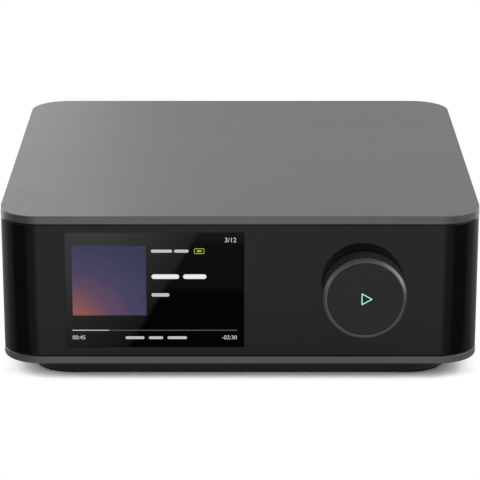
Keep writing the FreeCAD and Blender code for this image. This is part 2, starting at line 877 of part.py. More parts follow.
def phono_barrels():
    """Plated outer contacts of the three phono sockets."""
    pieces = []
    for x in phono_x:
        y = (rear_panel_y[0] - phono_seat, panel_face_y + phono_out)
        base = bar_y(phono_base_r, x, (y[0], panel_face_y), upper_row_z, 16)
        barrel = base.fuse(rod_y(phono_barrel_r, x, (panel_face_y, y[1]), upper_row_z))
        pieces.append(less(barrel, [hole_y(phono_bore_r, x, (y[0] - past, y[1] + past), upper_row_z, 16)]))
    return group(pieces)


def phono_insulators(places):
    """Coloured insulators inside the barrels, each with its centre contact hole."""
    pieces = []
    for x in places:
        y = (rear_panel_y[0] - phono_seat, panel_face_y + phono_out - seam)
        core = bar_y(phono_bore_r, x, y, upper_row_z, 16)
        pieces.append(less(core, [hole_y(phono_pin_r, x, (y[1] - phono_pin_l, y[1] + past), upper_row_z)]))
    return group(pieces)


def board_socket(x, size):
    """Outer block of a socket that stands on the main board and shows at the rear."""
    return block(span(x, size[0]), (socket_face_y - size[1], socket_face_y),
                 (board_top, board_top + size[2]))


def lan_socket():
    """Network socket: shielded case with the stepped opening for the plug's latch."""
    z = board_top + lan_size[2]
    deep = (socket_face_y - lan_depth, socket_face_y + past)
    plug = block(span(lan_x, lan_plug_w), deep, (z - lan_plug_z[0], z - lan_plug_z[1]))
    latch = block(span(lan_x, lan_latch_w), deep, (z - lan_latch_z[0], z - lan_latch_z[1]))
    return less(board_socket(lan_x, lan_size), [plug, latch])


def usb_socket():
    """Flat data socket: metal shell with a tongue inside."""
    z = board_top + usb_size[2] / 2
    deep = (socket_face_y - usb_depth, socket_face_y + past)
    hole = block(span(usb_x, usb_hole[0]), deep, span(z, usb_hole[1]))
    tongue = block(span(usb_x, usb_tongue_w), (deep[0] - past, socket_face_y - tongue_in),
                   (z + usb_tongue_z[0], z + usb_tongue_z[1]))
    return less(board_socket(usb_x, usb_size), [hole]).fuse(tongue).removeSplitter()


def hdmi_socket():
    """Picture and sound socket: shell with the two cut lower corners and a tongue."""
    z = board_top + hdmi_size[2] / 2
    deep = (socket_face_y - hdmi_depth, socket_face_y + past)
    half_w = hdmi_hole[0] / 2
    half_h = hdmi_hole[1] / 2
    cut = hdmi_corner
    points = [(hdmi_x - half_w, z + half_h), (hdmi_x + half_w, z + half_h),
              (hdmi_x + half_w, z - half_h + cut), (hdmi_x + half_w - cut, z - half_h),
              (hdmi_x - half_w + cut, z - half_h), (hdmi_x - half_w, z - half_h + cut)]
    tongue = block(span(hdmi_x, hdmi_tongue[0]), (deep[0] - past, socket_face_y - tongue_in),
                   span(z + hdmi_tongue_lift, hdmi_tongue[1]))
    return less(board_socket(hdmi_x, hdmi_size), [polygon_y(points, deep)]).fuse(tongue).removeSplitter()


def optical_cavity():
    """Ends of the plug cavity in the optical socket."""
    z = board_top + optical_size[2] / 2
    return (span(optical_x, optical_bore[0]), (socket_face_y - optical_bore[1], socket_face_y + past),
            span(z, optical_bore[2]))


def shutter_axis():
    """Middle of the shutter's pin: y and z."""
    return socket_face_y - shutter_in, optical_cavity()[2][1] - hinge_drop


def optical_socket():
    """Optical socket body with its square cavity and the two holes of the shutter pin."""
    y, z = shutter_axis()
    reach = optical_bore[0] / 2 + hinge_end + seat
    corner = (hinge_r + running_play) / math.cos(math.pi / 8)
    hole = polygon_x(facets(8, corner, (y, z)), (optical_x - reach, optical_x + reach))
    return less(board_socket(optical_x, optical_size), [block(*optical_cavity()), hole])


def optical_shutter():
    """Flap that closes the optical socket, hung on a pin along its top edge."""
    y, z = shutter_axis()
    width = optical_bore[0] - 2 * shutter_play
    low = optical_cavity()[2][0] + shutter_play
    flap = block(span(optical_x, width), span(y, shutter_t), (low, z))
    reach = optical_bore[0] / 2 + hinge_end
    pin = polygon_x(facets(8, hinge_r, (y, z)), (optical_x - reach, optical_x + reach))
    return flap.fuse(pin).removeSplitter()


def trigger_jack():
    """Small round jack for the trigger lead."""
    z = board_top + trigger_size[2] / 2
    body = board_socket(trigger_x, trigger_size)
    nose = bar_y(trigger_nose_r, trigger_x, (socket_face_y - past, socket_face_y + trigger_nose_l), z, 16)
    mouth_y = socket_face_y + trigger_nose_l
    bore = rod_y(trigger_r, trigger_x, (mouth_y - trigger_l, mouth_y + past), z)
    return less(body.fuse(nose), [bore]).removeSplitter()


def terminal_board():
    """Upright circuit board that joins the posts and phono sockets."""
    board = block(terminal_x, terminal_y, terminal_z)
    through = (terminal_y[0] - past, terminal_y[1] + past)
    holes = [hole_y(stud_r, x, through, upper_row_z) for x in post_x]
    pins = block(header_x, (terminal_y[0] - header_t, terminal_y[0]),
                 (board_top, terminal_z[0] + header_lap))
    return less(board, holes).fuse(pins).removeSplitter()


def board_holes(x, y):
    """Four screw places in the corners of a board."""
    return [(px, py) for px in (x[0] + board_hole_in, x[1] - board_hole_in)
            for py in (y[0] + board_hole_in, y[1] - board_hole_rear)]


def circuit_board(x, y):
    """Main or power board with its screw holes."""
    board = block(x, y, board_z)
    return less(board, [hole_z(screw_r + hole_play, px, py, (board_z[0] - past, board_z[1] + past))
                        for px, py in board_holes(x, y)])


def all_board_holes():
    """Screw places of both flat boards."""
    return board_holes(power_x, power_y) + board_holes(main_x, main_y)


def main_board():
    """Board of the processor, amplifier and signal sockets, with the two flat-cable plugs."""
    plugs = [block(display_flex_x, span(display_plug_y, plug_size[0]),
                   (board_top, board_top + plug_size[1])),
             block(span(knob_x, knob_flex_w + 2 * plug_margin), span(knob_plug_y, plug_size[0]),
                   (board_top, board_top + plug_size[1]))]
    return circuit_board(main_x, main_y).fuse(plugs).removeSplitter()


def power_board():
    """Board of the mains supply."""
    return circuit_board(power_x, power_y)


def standoffs():
    """Hex spacers on the base plate under the boards."""
    pieces = []
    for place in all_board_holes():
        post = polygon_z(hexagon(place, standoff_across), (base_z[1], board_z[0]))
        bore_z = (board_z[0] - screw_grip - axial_play, board_z[0] + past)
        bore = hole_z(screw_r, place[0], place[1], bore_z)
        pieces.append(less(post, [bore]))
    return group(pieces)


def board_screws():
    """Screws that hold the two flat boards and the knob board."""
    pieces = []
    for x, y in all_board_holes():
        head = bar_z(screw_head_r, x, y, (board_top, board_top + screw_head_t), 6)
        shank = bar_z(screw_r, x, y, (board_z[0] - screw_grip, board_top + screw_head_t / 2))
        pieces.append(head.fuse(shank).removeSplitter())
    front = front_y - knob_board_out[0]
    back = front_y - knob_board_out[1]
    for side in (-1, 1):
        x = knob_x + side * boss_x
        z = knob_z + side * boss_z
        head = bar_y(screw_head_r, x, (back, back + screw_head_t), z, 6)
        shank = bar_y(screw_r, x, (front - screw_grip, back + screw_head_t / 2), z)
        pieces.append(head.fuse(shank).removeSplitter())
    return group(pieces)


def heat_sink():
    """Finned aluminium extrusion over the amplifier chips, on two edge feet."""
    low = board_top + chip_size[2]
    pitch = (sink_x[1] - sink_x[0] - sink_fin_t) / (sink_fins - 1)
    base_top = low + sink_base_t
    fin_top = base_top + sink_fin_h
    points = [(sink_x[0], board_top), (sink_x[0] + sink_foot, board_top), (sink_x[0] + sink_foot, low),
              (sink_x[1] - sink_foot, low), (sink_x[1] - sink_foot, board_top), (sink_x[1], board_top)]
    for i in reversed(range(sink_fins)):
        x = sink_x[0] + i * pitch
        points.append((x + sink_fin_t, fin_top))
        points.append((x, fin_top))
        if i:
            points.append((x, base_top))
            points.append((x - pitch + sink_fin_t, base_top))
    return polygon_y(points, sink_y)


def amp_chips():
    """The two amplifier chips, each under the middle of one half of the heat sink."""
    middle = sum(sink_x) / 2
    offset = (sink_x[1] - sink_x[0]) / 4
    z = (board_top, board_top + chip_size[2])
    return group([block(span(middle + side * offset, chip_size[0]), span(sum(sink_y) / 2, chip_size[1]), z)
                  for side in (-1, 1)])


def output_inductors():
    """Four square shielded coils between the amplifier and the speaker posts."""
    pieces = []
    for i in range(coils):
        x = sum(main_x) / 2 + (i - (coils - 1) / 2) * coil_pitch
        outline = cut_corners(span(x, coil_side), span(rear_y - coil_rear_in, coil_side), coil_chamfer)
        pieces.append(polygon_z(outline, (board_top, board_top + coil_h)))
    return group(pieces)


def capacitors():
    """Reservoir capacitors: two large cans on the mains side, three small on the output."""
    cans = [bar_z(big_cap_r, power_x[0] + big_cap_in, front_y + y, (board_top, board_top + big_cap_h), 20)
            for y in big_cap_front_in]
    cans += [bar_z(small_cap_r, power_x[1] - small_cap_in, front_y + y,
                   (board_top, board_top + small_cap_h), 16) for y in small_cap_front_in]
    return group(cans)


def transformer():
    """Ferrite transformer: core frame round the wound bobbin."""
    core_y = front_y + core_front_in
    x = span(power_x[0] + core_in, core_size[0])
    y = span(core_y, core_size[1])
    z = (board_top, board_top + core_size[2])
    frame = less(block(x, span(core_y, core_size[1] / 2), z),
                 [block((x[0] + core_leg_t, x[1] - core_leg_t), y, (z[0] - past, z[1] - core_leg_t))])
    bobbin = block((x[0] + core_leg_t, x[1] - core_leg_t), y, (z[0], z[1] - core_leg_t))
    return frame.fuse(bobbin).removeSplitter()


def mains_choke():
    """Mains filter choke: square core with its two windings."""
    choke_x = power_x[0] + choke_in
    choke_y = rear_y - choke_rear_in
    x = span(choke_x, choke_size[0])
    y = span(choke_y, choke_size[1])
    z = (board_top, board_top + choke_size[2])
    core = block(x, span(choke_y, choke_size[1] / 2), (z[0], z[1]))
    coils = [block(span(choke_x + side * choke_size[0] / 4, choke_size[0] / 2 - choke_gap), y,
                   (z[0], z[1] - choke_leg_t)) for side in (-1, 1)]
    return core.fuse(coils).removeSplitter()


def shield_can():
    """Folded tin lid over the processor and radio."""
    lid_z = board_top + can_size[2] - can_t
    outer = block(can_x, can_y, (board_top, lid_z + can_t))
    inner = block((can_x[0] + can_t, can_x[1] - can_t), (can_y[0] + can_t, can_y[1] - can_t),
                  (board_top - past, lid_z))
    chip = block(span(sum(can_x) / 2, can_chip), span(sum(can_y) / 2, can_chip), (board_top, lid_z))
    return less(outer, [inner]).fuse(chip).removeSplitter()


def board_links():
    """Two copper bridges that carry the supply from the power board to the main board."""
    pieces = []
    for y in link_front_in:
        left = (power_x[1] - link_in - link_foot, power_x[1] - link_in)
        right = (main_x[0] + link_in, main_x[0] + link_in + link_foot)
        top = board_top + link_rise
        outline = [(left[0], board_top), (left[1], board_top), (left[1], top - link_t),
                   (right[0], top - link_t), (right[0], board_top), (right[1], board_top),
                   (right[1], board_top + link_t), (right[0] + link_t, board_top + link_t),
                   (right[0] + link_t, top), (left[1] - link_t, top),
                   (left[1] - link_t, board_top + link_t), (left[0], board_top + link_t)]
        pieces.append(polygon_y(outline, span(front_y + y, link_w)))
    return group(pieces)


def wifi_antennas():
    """Two radio antenna boards on the inner sides of the front carrier."""
    inner = side_x - frame_off - frame_t
    y = (corner_y + antenna_gap, corner_y + antenna_gap + antenna_size[1])
    z = (cavity_z[1] - antenna_drop - antenna_size[2], cavity_z[1] - antenna_drop)
    return group([block((inner - antenna_size[0], inner), y, z),
                  block((-inner, antenna_size[0] - inner), y, z)])


nodes = {
    "housing": housing(),
    "base_plate": base_plate(),
    "plinth": plinth(),
    "foot_pads": foot_pads(),
    "case_screws": case_screws(),
    "front_panel": front_panel(),
    "front_frame": front_frame(),
    "display_glass": display_glass(),
    "display_module": display_module(),
    "display_backing": display_backing(),
    "volume_ring": volume_ring(),
    "press_cap": press_cap(),
    "light_guide": light_guide(),
    "encoder_body": encoder_body(),
    "encoder_cover": encoder_cover(),
    "encoder_rotor": encoder_rotor(),
    "encoder_nut": encoder_nut(),
    "press_switch": press_switch(),
    "knob_board": knob_board(),
    "flat_cables": group([display_flex(), knob_flex()]),
    "rear_panel": rear_panel(),
    "inlet_body": inlet_body(),
    "inlet_pins": inlet_pins(),
    "speaker_studs": speaker_studs(),
    "red_collars": collars(post_x[1::2]),
    "black_collars": collars(post_x[0::2]),
    "stud_nuts": stud_nuts(),
    "phono_block": phono_block(),
    "phono_barrels": phono_barrels(),
    "phono_white": phono_insulators(phono_x[0:1]),
    "phono_red": phono_insulators(phono_x[1:2]),
    "phono_black": phono_insulators(phono_x[2:3]),
    "lan_socket": lan_socket(),
    "usb_socket": usb_socket(),
    "hdmi_socket": hdmi_socket(),
    "optical_socket": optical_socket(),
    "optical_shutter": optical_shutter(),
    "trigger_jack": trigger_jack(),
    "terminal_board": terminal_board(),
    "main_board": main_board(),
    "power_board": power_board(),
    "standoffs": standoffs(),
    "board_screws": board_screws(),
    "heat_sink": heat_sink(),
    "amp_chips": amp_chips(),
    "output_inductors": output_inductors(),
    "capacitors": capacitors(),
    "transformer": transformer(),
    "mains_choke": mains_choke(),
    "shield_can": shield_can(),
    "wifi_antennas": wifi_antennas(),
    "board_links": board_links(),
}
for number, x in enumerate(post_x, start=1):
    nodes["clamp_ring_%d" % number] = clamp_ring(x)
    nodes["post_cap_%d" % number] = post_cap(x)

os.makedirs("parts", exist_ok=True)
for name, shape in nodes.items():
    shape.exportStep("parts/%s.step" % name)
print(len(nodes), "nodes written")
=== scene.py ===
"""Looks of the streaming amplifier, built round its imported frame.

Sizes are in millimetres and become metres when a piece's mesh is made. +X is to the right seen
from the front, the front looks along -Y, +Z is up, and the table is at z 0.
"""

import math
from functools import partial

import bmesh
import bpy
import numpy as np
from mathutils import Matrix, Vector, geometry


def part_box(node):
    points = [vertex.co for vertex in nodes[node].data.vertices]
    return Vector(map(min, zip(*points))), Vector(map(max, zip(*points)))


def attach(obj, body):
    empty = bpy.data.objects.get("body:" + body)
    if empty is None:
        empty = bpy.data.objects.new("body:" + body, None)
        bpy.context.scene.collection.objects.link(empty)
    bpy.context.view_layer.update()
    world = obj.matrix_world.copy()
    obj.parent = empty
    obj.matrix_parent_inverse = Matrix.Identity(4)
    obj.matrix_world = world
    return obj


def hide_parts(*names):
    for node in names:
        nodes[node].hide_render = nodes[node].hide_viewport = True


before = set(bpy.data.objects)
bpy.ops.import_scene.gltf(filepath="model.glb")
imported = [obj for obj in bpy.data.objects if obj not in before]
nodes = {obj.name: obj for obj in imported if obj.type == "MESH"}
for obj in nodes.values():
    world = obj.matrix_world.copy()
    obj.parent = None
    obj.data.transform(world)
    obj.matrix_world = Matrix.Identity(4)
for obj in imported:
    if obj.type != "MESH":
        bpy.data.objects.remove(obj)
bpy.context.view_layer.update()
scene = bpy.context.scene
scene.view_settings.view_transform = "Standard"

# The view: a long lens about a metre in front of the amplifier, looking down on it a little.
# The amplifier has no lead in the picture, so there is no cord to lay out.
lens = bpy.data.cameras.new("view")
lens.lens = 176.9
camera = bpy.data.objects.new("view", lens)
camera.location = (0.0, -1.022, 0.3586)
camera.rotation_euler = (math.radians(72.29), 0.0, 0.0)
scene.collection.objects.link(camera)
scene.camera = camera


# Housing: top, sides and rear wall pressed from one piece of aluminium, bead-blasted and
# anodised dark grey. It is open below and to the front, where its top is a lip over the cover,
# and four round pillars inside take the case screws.
def ends(node):
    """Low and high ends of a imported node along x, y and z, in millimetres."""
    return np.array(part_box(node)).T * 1000.0


def about(middle, half):
    """Both ends of a stretch about its middle."""
    return middle - half, middle + half


def corner_loop(x, y, radius, steps=12):
    """Rectangle with round corners, counter-clockwise from its lower right corner.

    Each corner is a quarter circle, middle + radius * (cos t, sin t); where the radius is half
    the width the loop is a circle or a slot.
    """
    t = np.radians(np.linspace(-90, 0, steps + 1) + 90 * np.arange(4)[:, None])
    middle_x = np.array([x[1] - radius, x[1] - radius, x[0] + radius, x[0] + radius])[:, None]
    middle_y = np.array([y[0] + radius, y[1] - radius, y[1] - radius, y[0] + radius])[:, None]
    loop = np.stack([middle_x + radius * np.cos(t), middle_y + radius * np.sin(t)], -1)
    return loop.reshape(-1, 2)


def box_loop(x, y, radius=0.0, steps=6):
    """Outline of a plate, as a function of how far it is drawn in on every side."""
    return lambda inset: corner_loop((x[0] + inset, x[1] - inset), (y[0] + inset, y[1] - inset),
                                     max(radius - inset, 0.0), steps)


def box_hole(x, y, radius=0.0, steps=6):
    """Outline of an opening, as a function of how far it is widened on every side."""
    return lambda inset: corner_loop((x[0] - inset, x[1] + inset), (y[0] - inset, y[1] + inset),
                                     radius + inset if radius else 0.0, steps)


def round_hole(x, y, radius, steps=6):
    """Round opening about a middle, as a function of how far it is widened."""
    return box_hole(about(x, radius), about(y, radius), radius, steps)


def lying(loop, level):
    """Points of a plan outline at a height."""
    return np.concatenate([loop, np.broadcast_to(level, loop.shape[:-1])[..., None]], -1)


def facing(loop, level):
    """Points of an (x, z) outline at a distance from front to back."""
    y = np.broadcast_to(level, loop.shape[:-1])
    return np.stack([loop[..., 0], y, loop[..., 1]], -1)


def closed(loop):
    """A loop with its first point again at the end."""
    return np.concatenate([loop, loop[:1]])


def grid(points, kept=None):
    """Quads between the neighbours of a (rows, columns, 3) array; kept says which stay."""
    rows, columns = points.shape[:2]
    index = np.arange(rows * columns).reshape(rows, columns)
    quads = np.stack([index[:-1, :-1], index[1:, :-1], index[1:, 1:], index[:-1, 1:]], -1)
    quads = quads[kept] if kept is not None else quads.reshape(-1, 4)
    return points.reshape(-1, 3), quads


def fill(*loops):
    """Flat face between an outer loop and the openings in it, cut into triangles."""
    loops = [loop[np.linalg.norm(loop - np.roll(loop, 1, 0), axis=1) > 1e-6] for loop in loops]
    cut = geometry.tessellate_polygon([[Vector(point) for point in loop] for loop in loops])
    return np.concatenate(loops), np.array(cut)


def quarter_round(edge, steps=3):
    """Insets and depths along a quarter round: edge * (1 - sin t) and edge * (1 - cos t)."""
    t = np.linspace(0, math.pi / 2, steps + 1)
    return edge * (1 - np.sin(t)), edge * (1 - np.cos(t))


def walls(loop, level, edge, lay, steps=3):
    """Side of a plate or opening between two levels, with a quarter round at both of them."""
    inset, depth = quarter_round(edge, steps)
    insets = np.concatenate([inset, inset[::-1]])
    levels = np.concatenate([level[0] + depth, level[1] - depth[::-1]])
    rings = np.stack([closed(loop(inset)) for inset in insets])
    return grid(lay(rings, levels[:, None]))


def tube(loop, level, lay):
    """Straight side of an outline or opening between two levels."""
    return grid(lay(np.stack([closed(loop)] * 2), np.array(level)[:, None]))


def plate(loops, level, edge, lay, steps=3):
    """Flat piece: its first outline is the outer one and the others are openings through it."""
    patches = [walls(loop, level, edge, lay, steps) for loop in loops]
    patches += [fill(*[lay(loop(edge), z) for loop in loops]) for z in level]
    return patches


def piece(name, patches, look, stands_for=(), body="chassis", bevel=0.0):
    """Joins patches into one closed mesh whose faces point outwards, and rides it on a body."""
    points = np.concatenate([part for part, _ in patches]) / 1000.0
    starts = np.cumsum([0] + [len(part) for part, _ in patches])
    faces = [face for (_, part), start in zip(patches, starts) for face in (part + start).tolist()]
    mesh = bpy.data.meshes.new(name)
    mesh.from_pydata(points, [], faces)
    work = bmesh.new()
    work.from_mesh(mesh)
    bmesh.ops.remove_doubles(work, verts=work.verts, dist=2e-6)
    bmesh.ops.dissolve_degenerate(work, edges=work.edges, dist=1e-6)
    bmesh.ops.recalc_face_normals(work, faces=work.faces)
    work.to_mesh(mesh)
    work.free()
    mesh.shade_smooth()
    mesh.set_sharp_from_angle(angle=math.radians(32.0))
    mesh.materials.append(look)
    made = bpy.data.objects.new(name, mesh)
    scene.collection.objects.link(made)
    if bevel:
        rounding = made.modifiers.new("edges", "BEVEL")
        rounding.width = bevel / 1000.0
        rounding.segments = 2
        rounding.limit_method = "ANGLE"
        rounding.angle_limit = math.radians(50.0)
    made.modifiers.new("shading", "WEIGHTED_NORMAL").keep_sharp = True
    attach(made, body)
    if stands_for:
        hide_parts(*stands_for)
    return made


def feed(tree, node, inputs):
    """Sets inputs of a node by name or number; one that is given a socket is linked to it."""
    for name, value in inputs.items():
        if isinstance(value, bpy.types.NodeSocket):
            tree.links.new(value, node.inputs[name])
        else:
            node.inputs[name].default_value = value


def add(tree, kind, inputs={}, **settings):
    """Puts a node into a tree, sets its inputs and returns its outputs."""
    node = tree.nodes.new("ShaderNode" + kind)
    for name, value in settings.items():
        setattr(node, name, value)
    feed(tree, node, inputs)
    return node.outputs


def set_shader(look, inputs):
    """Sets inputs of the Principled shader of a finish."""
    feed(look.node_tree, look.node_tree.nodes["Principled BSDF"], inputs)


def object_point(tree):
    """Place of a point on its object, in metres."""
    return add(tree, "TexCoord")["Object"]


def calc(tree, operation, *values):
    """Result of a math node on numbers and sockets."""
    return add(tree, "Math", dict(enumerate(values)), operation=operation)[0]


def mapped(tree, value, start, end, low=0.0, high=1.0, **settings):
    """A value mapped so that it runs from low to high while it goes from start to end."""
    limits = {"Value": value, 1: start, 2: end, 3: low, 4: high}
    return add(tree, "MapRange", limits, **settings)[0]


def blend(tree, share, first, second):
    """The first value where the share is 0, and the second where it is 1."""
    return add(tree, "Mix", {0: share, 2: first, 3: second})[0]


def shaded(tree, colour, level):
    """A colour multiplied by a level."""
    return add(tree, "Mix", {0: 1.0, 6: (*colour, 1.0), 7: level}, data_type="RGBA",
               blend_type="MULTIPLY")[2]


def ramp(tree, value, stops):
    """Colour at a value between stops of (position, colour)."""
    output = add(tree, "ValToRGB", {0: value})[0]
    elements = output.node.color_ramp.elements
    for position, _ in stops[1:-1]:
        elements.new(position)
    for element, (position, colour) in zip(elements, stops):
        element.position = position
        element.color = (*colour, 1.0)
    return output


def effect(name, inputs, outputs):
    """Empty node group for an effect that several finishes share, with its two end nodes."""
    group = bpy.data.node_groups.new(name, "ShaderNodeTree")
    new_socket = group.interface.new_socket
    for label, value in inputs.items():
        new_socket(label, in_out="INPUT", socket_type="NodeSocketFloat").default_value = value
    for label in outputs:
        new_socket(label, in_out="OUTPUT", socket_type="NodeSocketFloat")
    entry, exit_node = group.nodes.new("NodeGroupInput"), group.nodes.new("NodeGroupOutput")
    return group, entry.outputs, exit_node.inputs


# Fine texture of a surface: two sizes of noise, one three times as coarse as the other.
fine_texture, given, out = effect("fine_texture", {"Size": 0.0002}, ("Height", "Shade"))
point = object_point(fine_texture)
small, large = [add(fine_texture, "TexNoise", {
    "Vector": point, "Scale": calc(fine_texture, "DIVIDE", share, given["Size"]),
    "Detail": 2.0})[0] for share in (1.0, 0.33)]
fine_texture.links.new(blend(fine_texture, 0.4, small, large), out["Height"])
fine_texture.links.new(large, out["Shade"])

# Broad change of gloss where hands and cloths have been, stretched a little along the width.
handling, given, out = effect("handling", {"Size": 0.03}, ("Gloss", "Cloud"))
stretched = {"Vector": object_point(handling), "Scale": (0.6, 1.0, 1.0)}
point = add(handling, "Mapping", stretched)[0]
scale = calc(handling, "DIVIDE", 1.0, given["Size"])
cloud, wisps = [add(handling, "TexNoise", {
    "Vector": point, "Scale": scale, "Detail": detail, "Roughness": fineness,
    "Distortion": distortion})[0]
    for detail, fineness, distortion in ((4.0, 0.62, 0.4), (8.0, 0.75, 2.5))]
handling.links.new(blend(handling, 0.35, cloud, wisps), out["Gloss"])
handling.links.new(cloud, out["Cloud"])
# Nearly all of a noise lies between these two values
noise_span = (0.3, 0.7)


def finish(name, colour, roughness, metallic=0.0, grain=0.5, depth=0.004, shade=0.1,
           clouds=0.08, gloss=0.15, spread=6.0, plain={}):
    """Finish with a fine texture and broad handling marks.

    grain and spread are the sizes of the two in millimetres, depth the height of the texture;
    shade and clouds are how much each changes the colour, gloss how much the roughness varies.
    """
    material = bpy.data.materials.new(name)
    material.use_nodes = True
    tree = material.node_tree
    texture = add(tree, "Group", {"Size": grain / 1000.0}, node_tree=fine_texture)
    marks = add(tree, "Group", {"Size": spread / 1000.0}, node_tree=handling)
    darker = mapped(tree, texture["Shade"], *noise_span, 1.0 - shade, 1.0 + shade)
    paler = mapped(tree, marks["Cloud"], *noise_span, 1.0 - clouds, 1.0 + clouds)
    rough = [roughness * (1.0 - gloss), roughness * (1.0 + gloss)]
    relief = {"Height": texture["Height"], "Strength": 1.0, "Distance": depth / 1000.0}
    set_shader(material, {"Metallic": metallic, **plain,
                          "Base Color": shaded(tree, colour, calc(tree, "MULTIPLY", darker, paler)),
                          "Roughness": mapped(tree, marks["Gloss"], *noise_span, *rough),
                          "Normal": add(tree, "Bump", relief)[0]})
    return material


metal = partial(finish, metallic=1.0)


(left, right), (front, rear), (case_low, case_high) = ends("housing")
corner, wall, lip, softness = 17.0, 2.4, 3.4, 0.25
ceiling = case_high - lip
window_side = 78.0
mouth = front + corner


def outline(inset):
    """Plan outline of the case from one side of the rear window round to the other."""
    loop = corner_loop((left + inset, right - inset), (front + inset, rear - inset), corner - inset)
    loop = np.roll(loop, len(loop) // 2, 0)
    back = rear - inset
    return np.concatenate([[(-window_side, back)], loop, [(window_side, back)]])


rows = [lying(closed(outline(inset)), case_high - depth)
        for inset, depth in zip(*quarter_round(softness, 5))]
rows.append(lying(closed(outline(0.0)), ceiling))
housing = [fill(rows[0][:-1]), grid(np.stack(rows)), fill(lying(outline(wall), ceiling))]
# The side walls stop at the mouth, where the outline has the same point twice
at_mouth = [14, 39]
order = np.concatenate([np.arange(at_mouth[0] + 1), np.arange(at_mouth[0], at_mouth[1] + 1),
                        np.arange(at_mouth[1], len(outline(0.0)))])
foot = np.full(len(order), case_low)
foot[at_mouth[0] + 1:at_mouth[1] + 2] = ceiling
outside, inside = outline(0.0)[order], outline(wall)[order]
housing.append(grid(np.stack([lying(outside, ceiling), lying(outside, foot),
                              lying(inside, foot), lying(inside, ceiling)])))
window_half, window_edge, window_corner = 76.0, 3.6, 3.0
window = corner_loop(about(0.0, window_half), (case_low + window_edge, ceiling - window_edge),
                     window_corner, 6)
stretch = corner_loop((-window_side, window_side), (case_low, ceiling), 0.0, 1)
for y in (rear, rear - wall):
    housing.append(fill(facing(stretch, y), facing(window, y)))
housing.append(tube(window, (rear, rear - wall), facing))
sill = np.array([[-window_side, window_side]] * 2)
housing.append(grid(np.stack([sill, np.array([[rear] * 2, [rear - wall] * 2]),
                              np.full((2, 2), case_low)], -1)))
pad_half, pillar_r, thread_r, shank_r = 4.5, 4.0, 1.6, 1.75
screw_x, screw_y = ends("foot_pads")[:2, 1] - pad_half
pillars = [(x, y) for x in (-screw_x, screw_x) for y in (-screw_y, screw_y)]
for x, y in pillars:
    post = box_loop(about(x, pillar_r), about(y, pillar_r), pillar_r)
    housing += plate([post, round_hole(x, y, thread_r)], (case_low, ceiling - 0.02), 0.15, lying)
case_metal = metal("blasted_aluminium", (0.27, 0.27, 0.275), 0.44, grain=0.16,
                   depth=0.0025, shade=0.05, clouds=0.02, gloss=0.06, spread=45.0)
piece("housing_shell", housing, case_metal, ("housing",), bevel=0.15)

# Base plate: a flat aluminium plate with the outline of the case, seen all round as a paler
# band under a fine seam. Its slots let air in, and the case screws pass through it.
band_low, band_high = ends("base_plate")[2]
slot_half, slot_reach, slot_pitch, slot_row = 1.6, 17.0, 13.0, 22.0
slots = [box_hole(about(x, slot_half), about(y, slot_reach), slot_half, 4)
         for x in (np.arange(6) - 2.5) * slot_pitch for y in (-slot_row, slot_row)]
bores = [round_hole(x, y, shank_r) for x, y in pillars]
band = [box_loop((left, right), (front, rear), corner, 12)]
band_metal = metal("band_aluminium", (0.25, 0.25, 0.255), 0.48, grain=0.16,
                   depth=0.0025, shade=0.05, clouds=0.03, gloss=0.06, spread=40.0)
piece("base_band", plate(band + slots + bores, (band_low, band_high), 0.28, lying), band_metal,
      ("base_plate",))

# Plinth: a moulded black ring set back under the case. It lifts the case off the table, hides
# the case screws in deep holes, and has four square seats for the rubber pads.
plinth_x, plinth_y, (plinth_low, plinth_high) = ends("plinth")
ring_width, hollow_corner, rounding = 15.0, 6.0, 0.5
seat_half, seat_corner, head_r = pad_half + 0.25, 2.2, 3.0
seat_high = plinth_low + 1.0
head_high = seat_high + 2.45
rim = box_loop(plinth_x, plinth_y, corner, 12)
inwards = (ring_width, -ring_width)
hollow = box_hole(plinth_x + inwards, plinth_y + inwards, hollow_corner)
seats = [box_hole(about(x, seat_half), about(y, seat_half), seat_corner) for x, y in pillars]
heads = [round_hole(x, y, head_r) for x, y in pillars]
plinth = [walls(loop, (plinth_low, plinth_high), rounding, lying) for loop in (rim, hollow)]
for z, holes in ((plinth_low, seats), (plinth_high, bores)):
    plinth.append(fill(*[lying(loop(rounding), z) for loop in (rim, hollow)],
                       *[lying(loop(0.0), z) for loop in holes]))
for seat, head, shank in zip(seats, heads, bores):
    plinth += [tube(seat(0.0), (plinth_low, seat_high), lying),
               fill(lying(seat(0.0), seat_high), lying(head(0.0), seat_high)),
               tube(head(0.0), (seat_high, head_high), lying),
               fill(lying(head(0.0), head_high), lying(shank(0.0), head_high)),
               tube(shank(0.0), (head_high, plinth_high), lying)]
plinth_black = finish("textured_black_moulding", (0.012, 0.012, 0.012), 0.5, depth=0.02, shade=0.2,
                      clouds=0.12, spread=18.0)
piece("plinth_ring", plinth, plinth_black, ("plinth",))

# Foot pads: four squares of dark rubber, pressed into their seats over the case screws.
pads = []
for x, y in pillars:
    pad = box_loop(about(x, pad_half), about(y, pad_half), 2.0)
    pads += plate([pad], (0.0, seat_high), 0.3, lying)
rubber = finish("pad_rubber", (0.02, 0.02, 0.021), 0.85, grain=0.35, depth=0.012, shade=0.25,
                clouds=0.15, gloss=0.08, plain={"Specular IOR Level": 0.3})
piece("rubber_pads", pads, rubber, ("foot_pads",))


# Case screws: zinc-plated steel, driven up through plinth and base plate into the pillars.
def carry(finish_used, *names):
    """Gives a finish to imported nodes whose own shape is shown."""
    for name in names:
        for place_of in nodes[name].material_slots:
            place_of.material = finish_used


carry(metal("plated_steel", (0.5, 0.5, 0.5), 0.34, grain=0.4, depth=0.003, shade=0.12,
            clouds=0.1, gloss=0.25, spread=4.0), "case_screws", "board_screws", "display_backing",
      "encoder_cover", "stud_nuts")

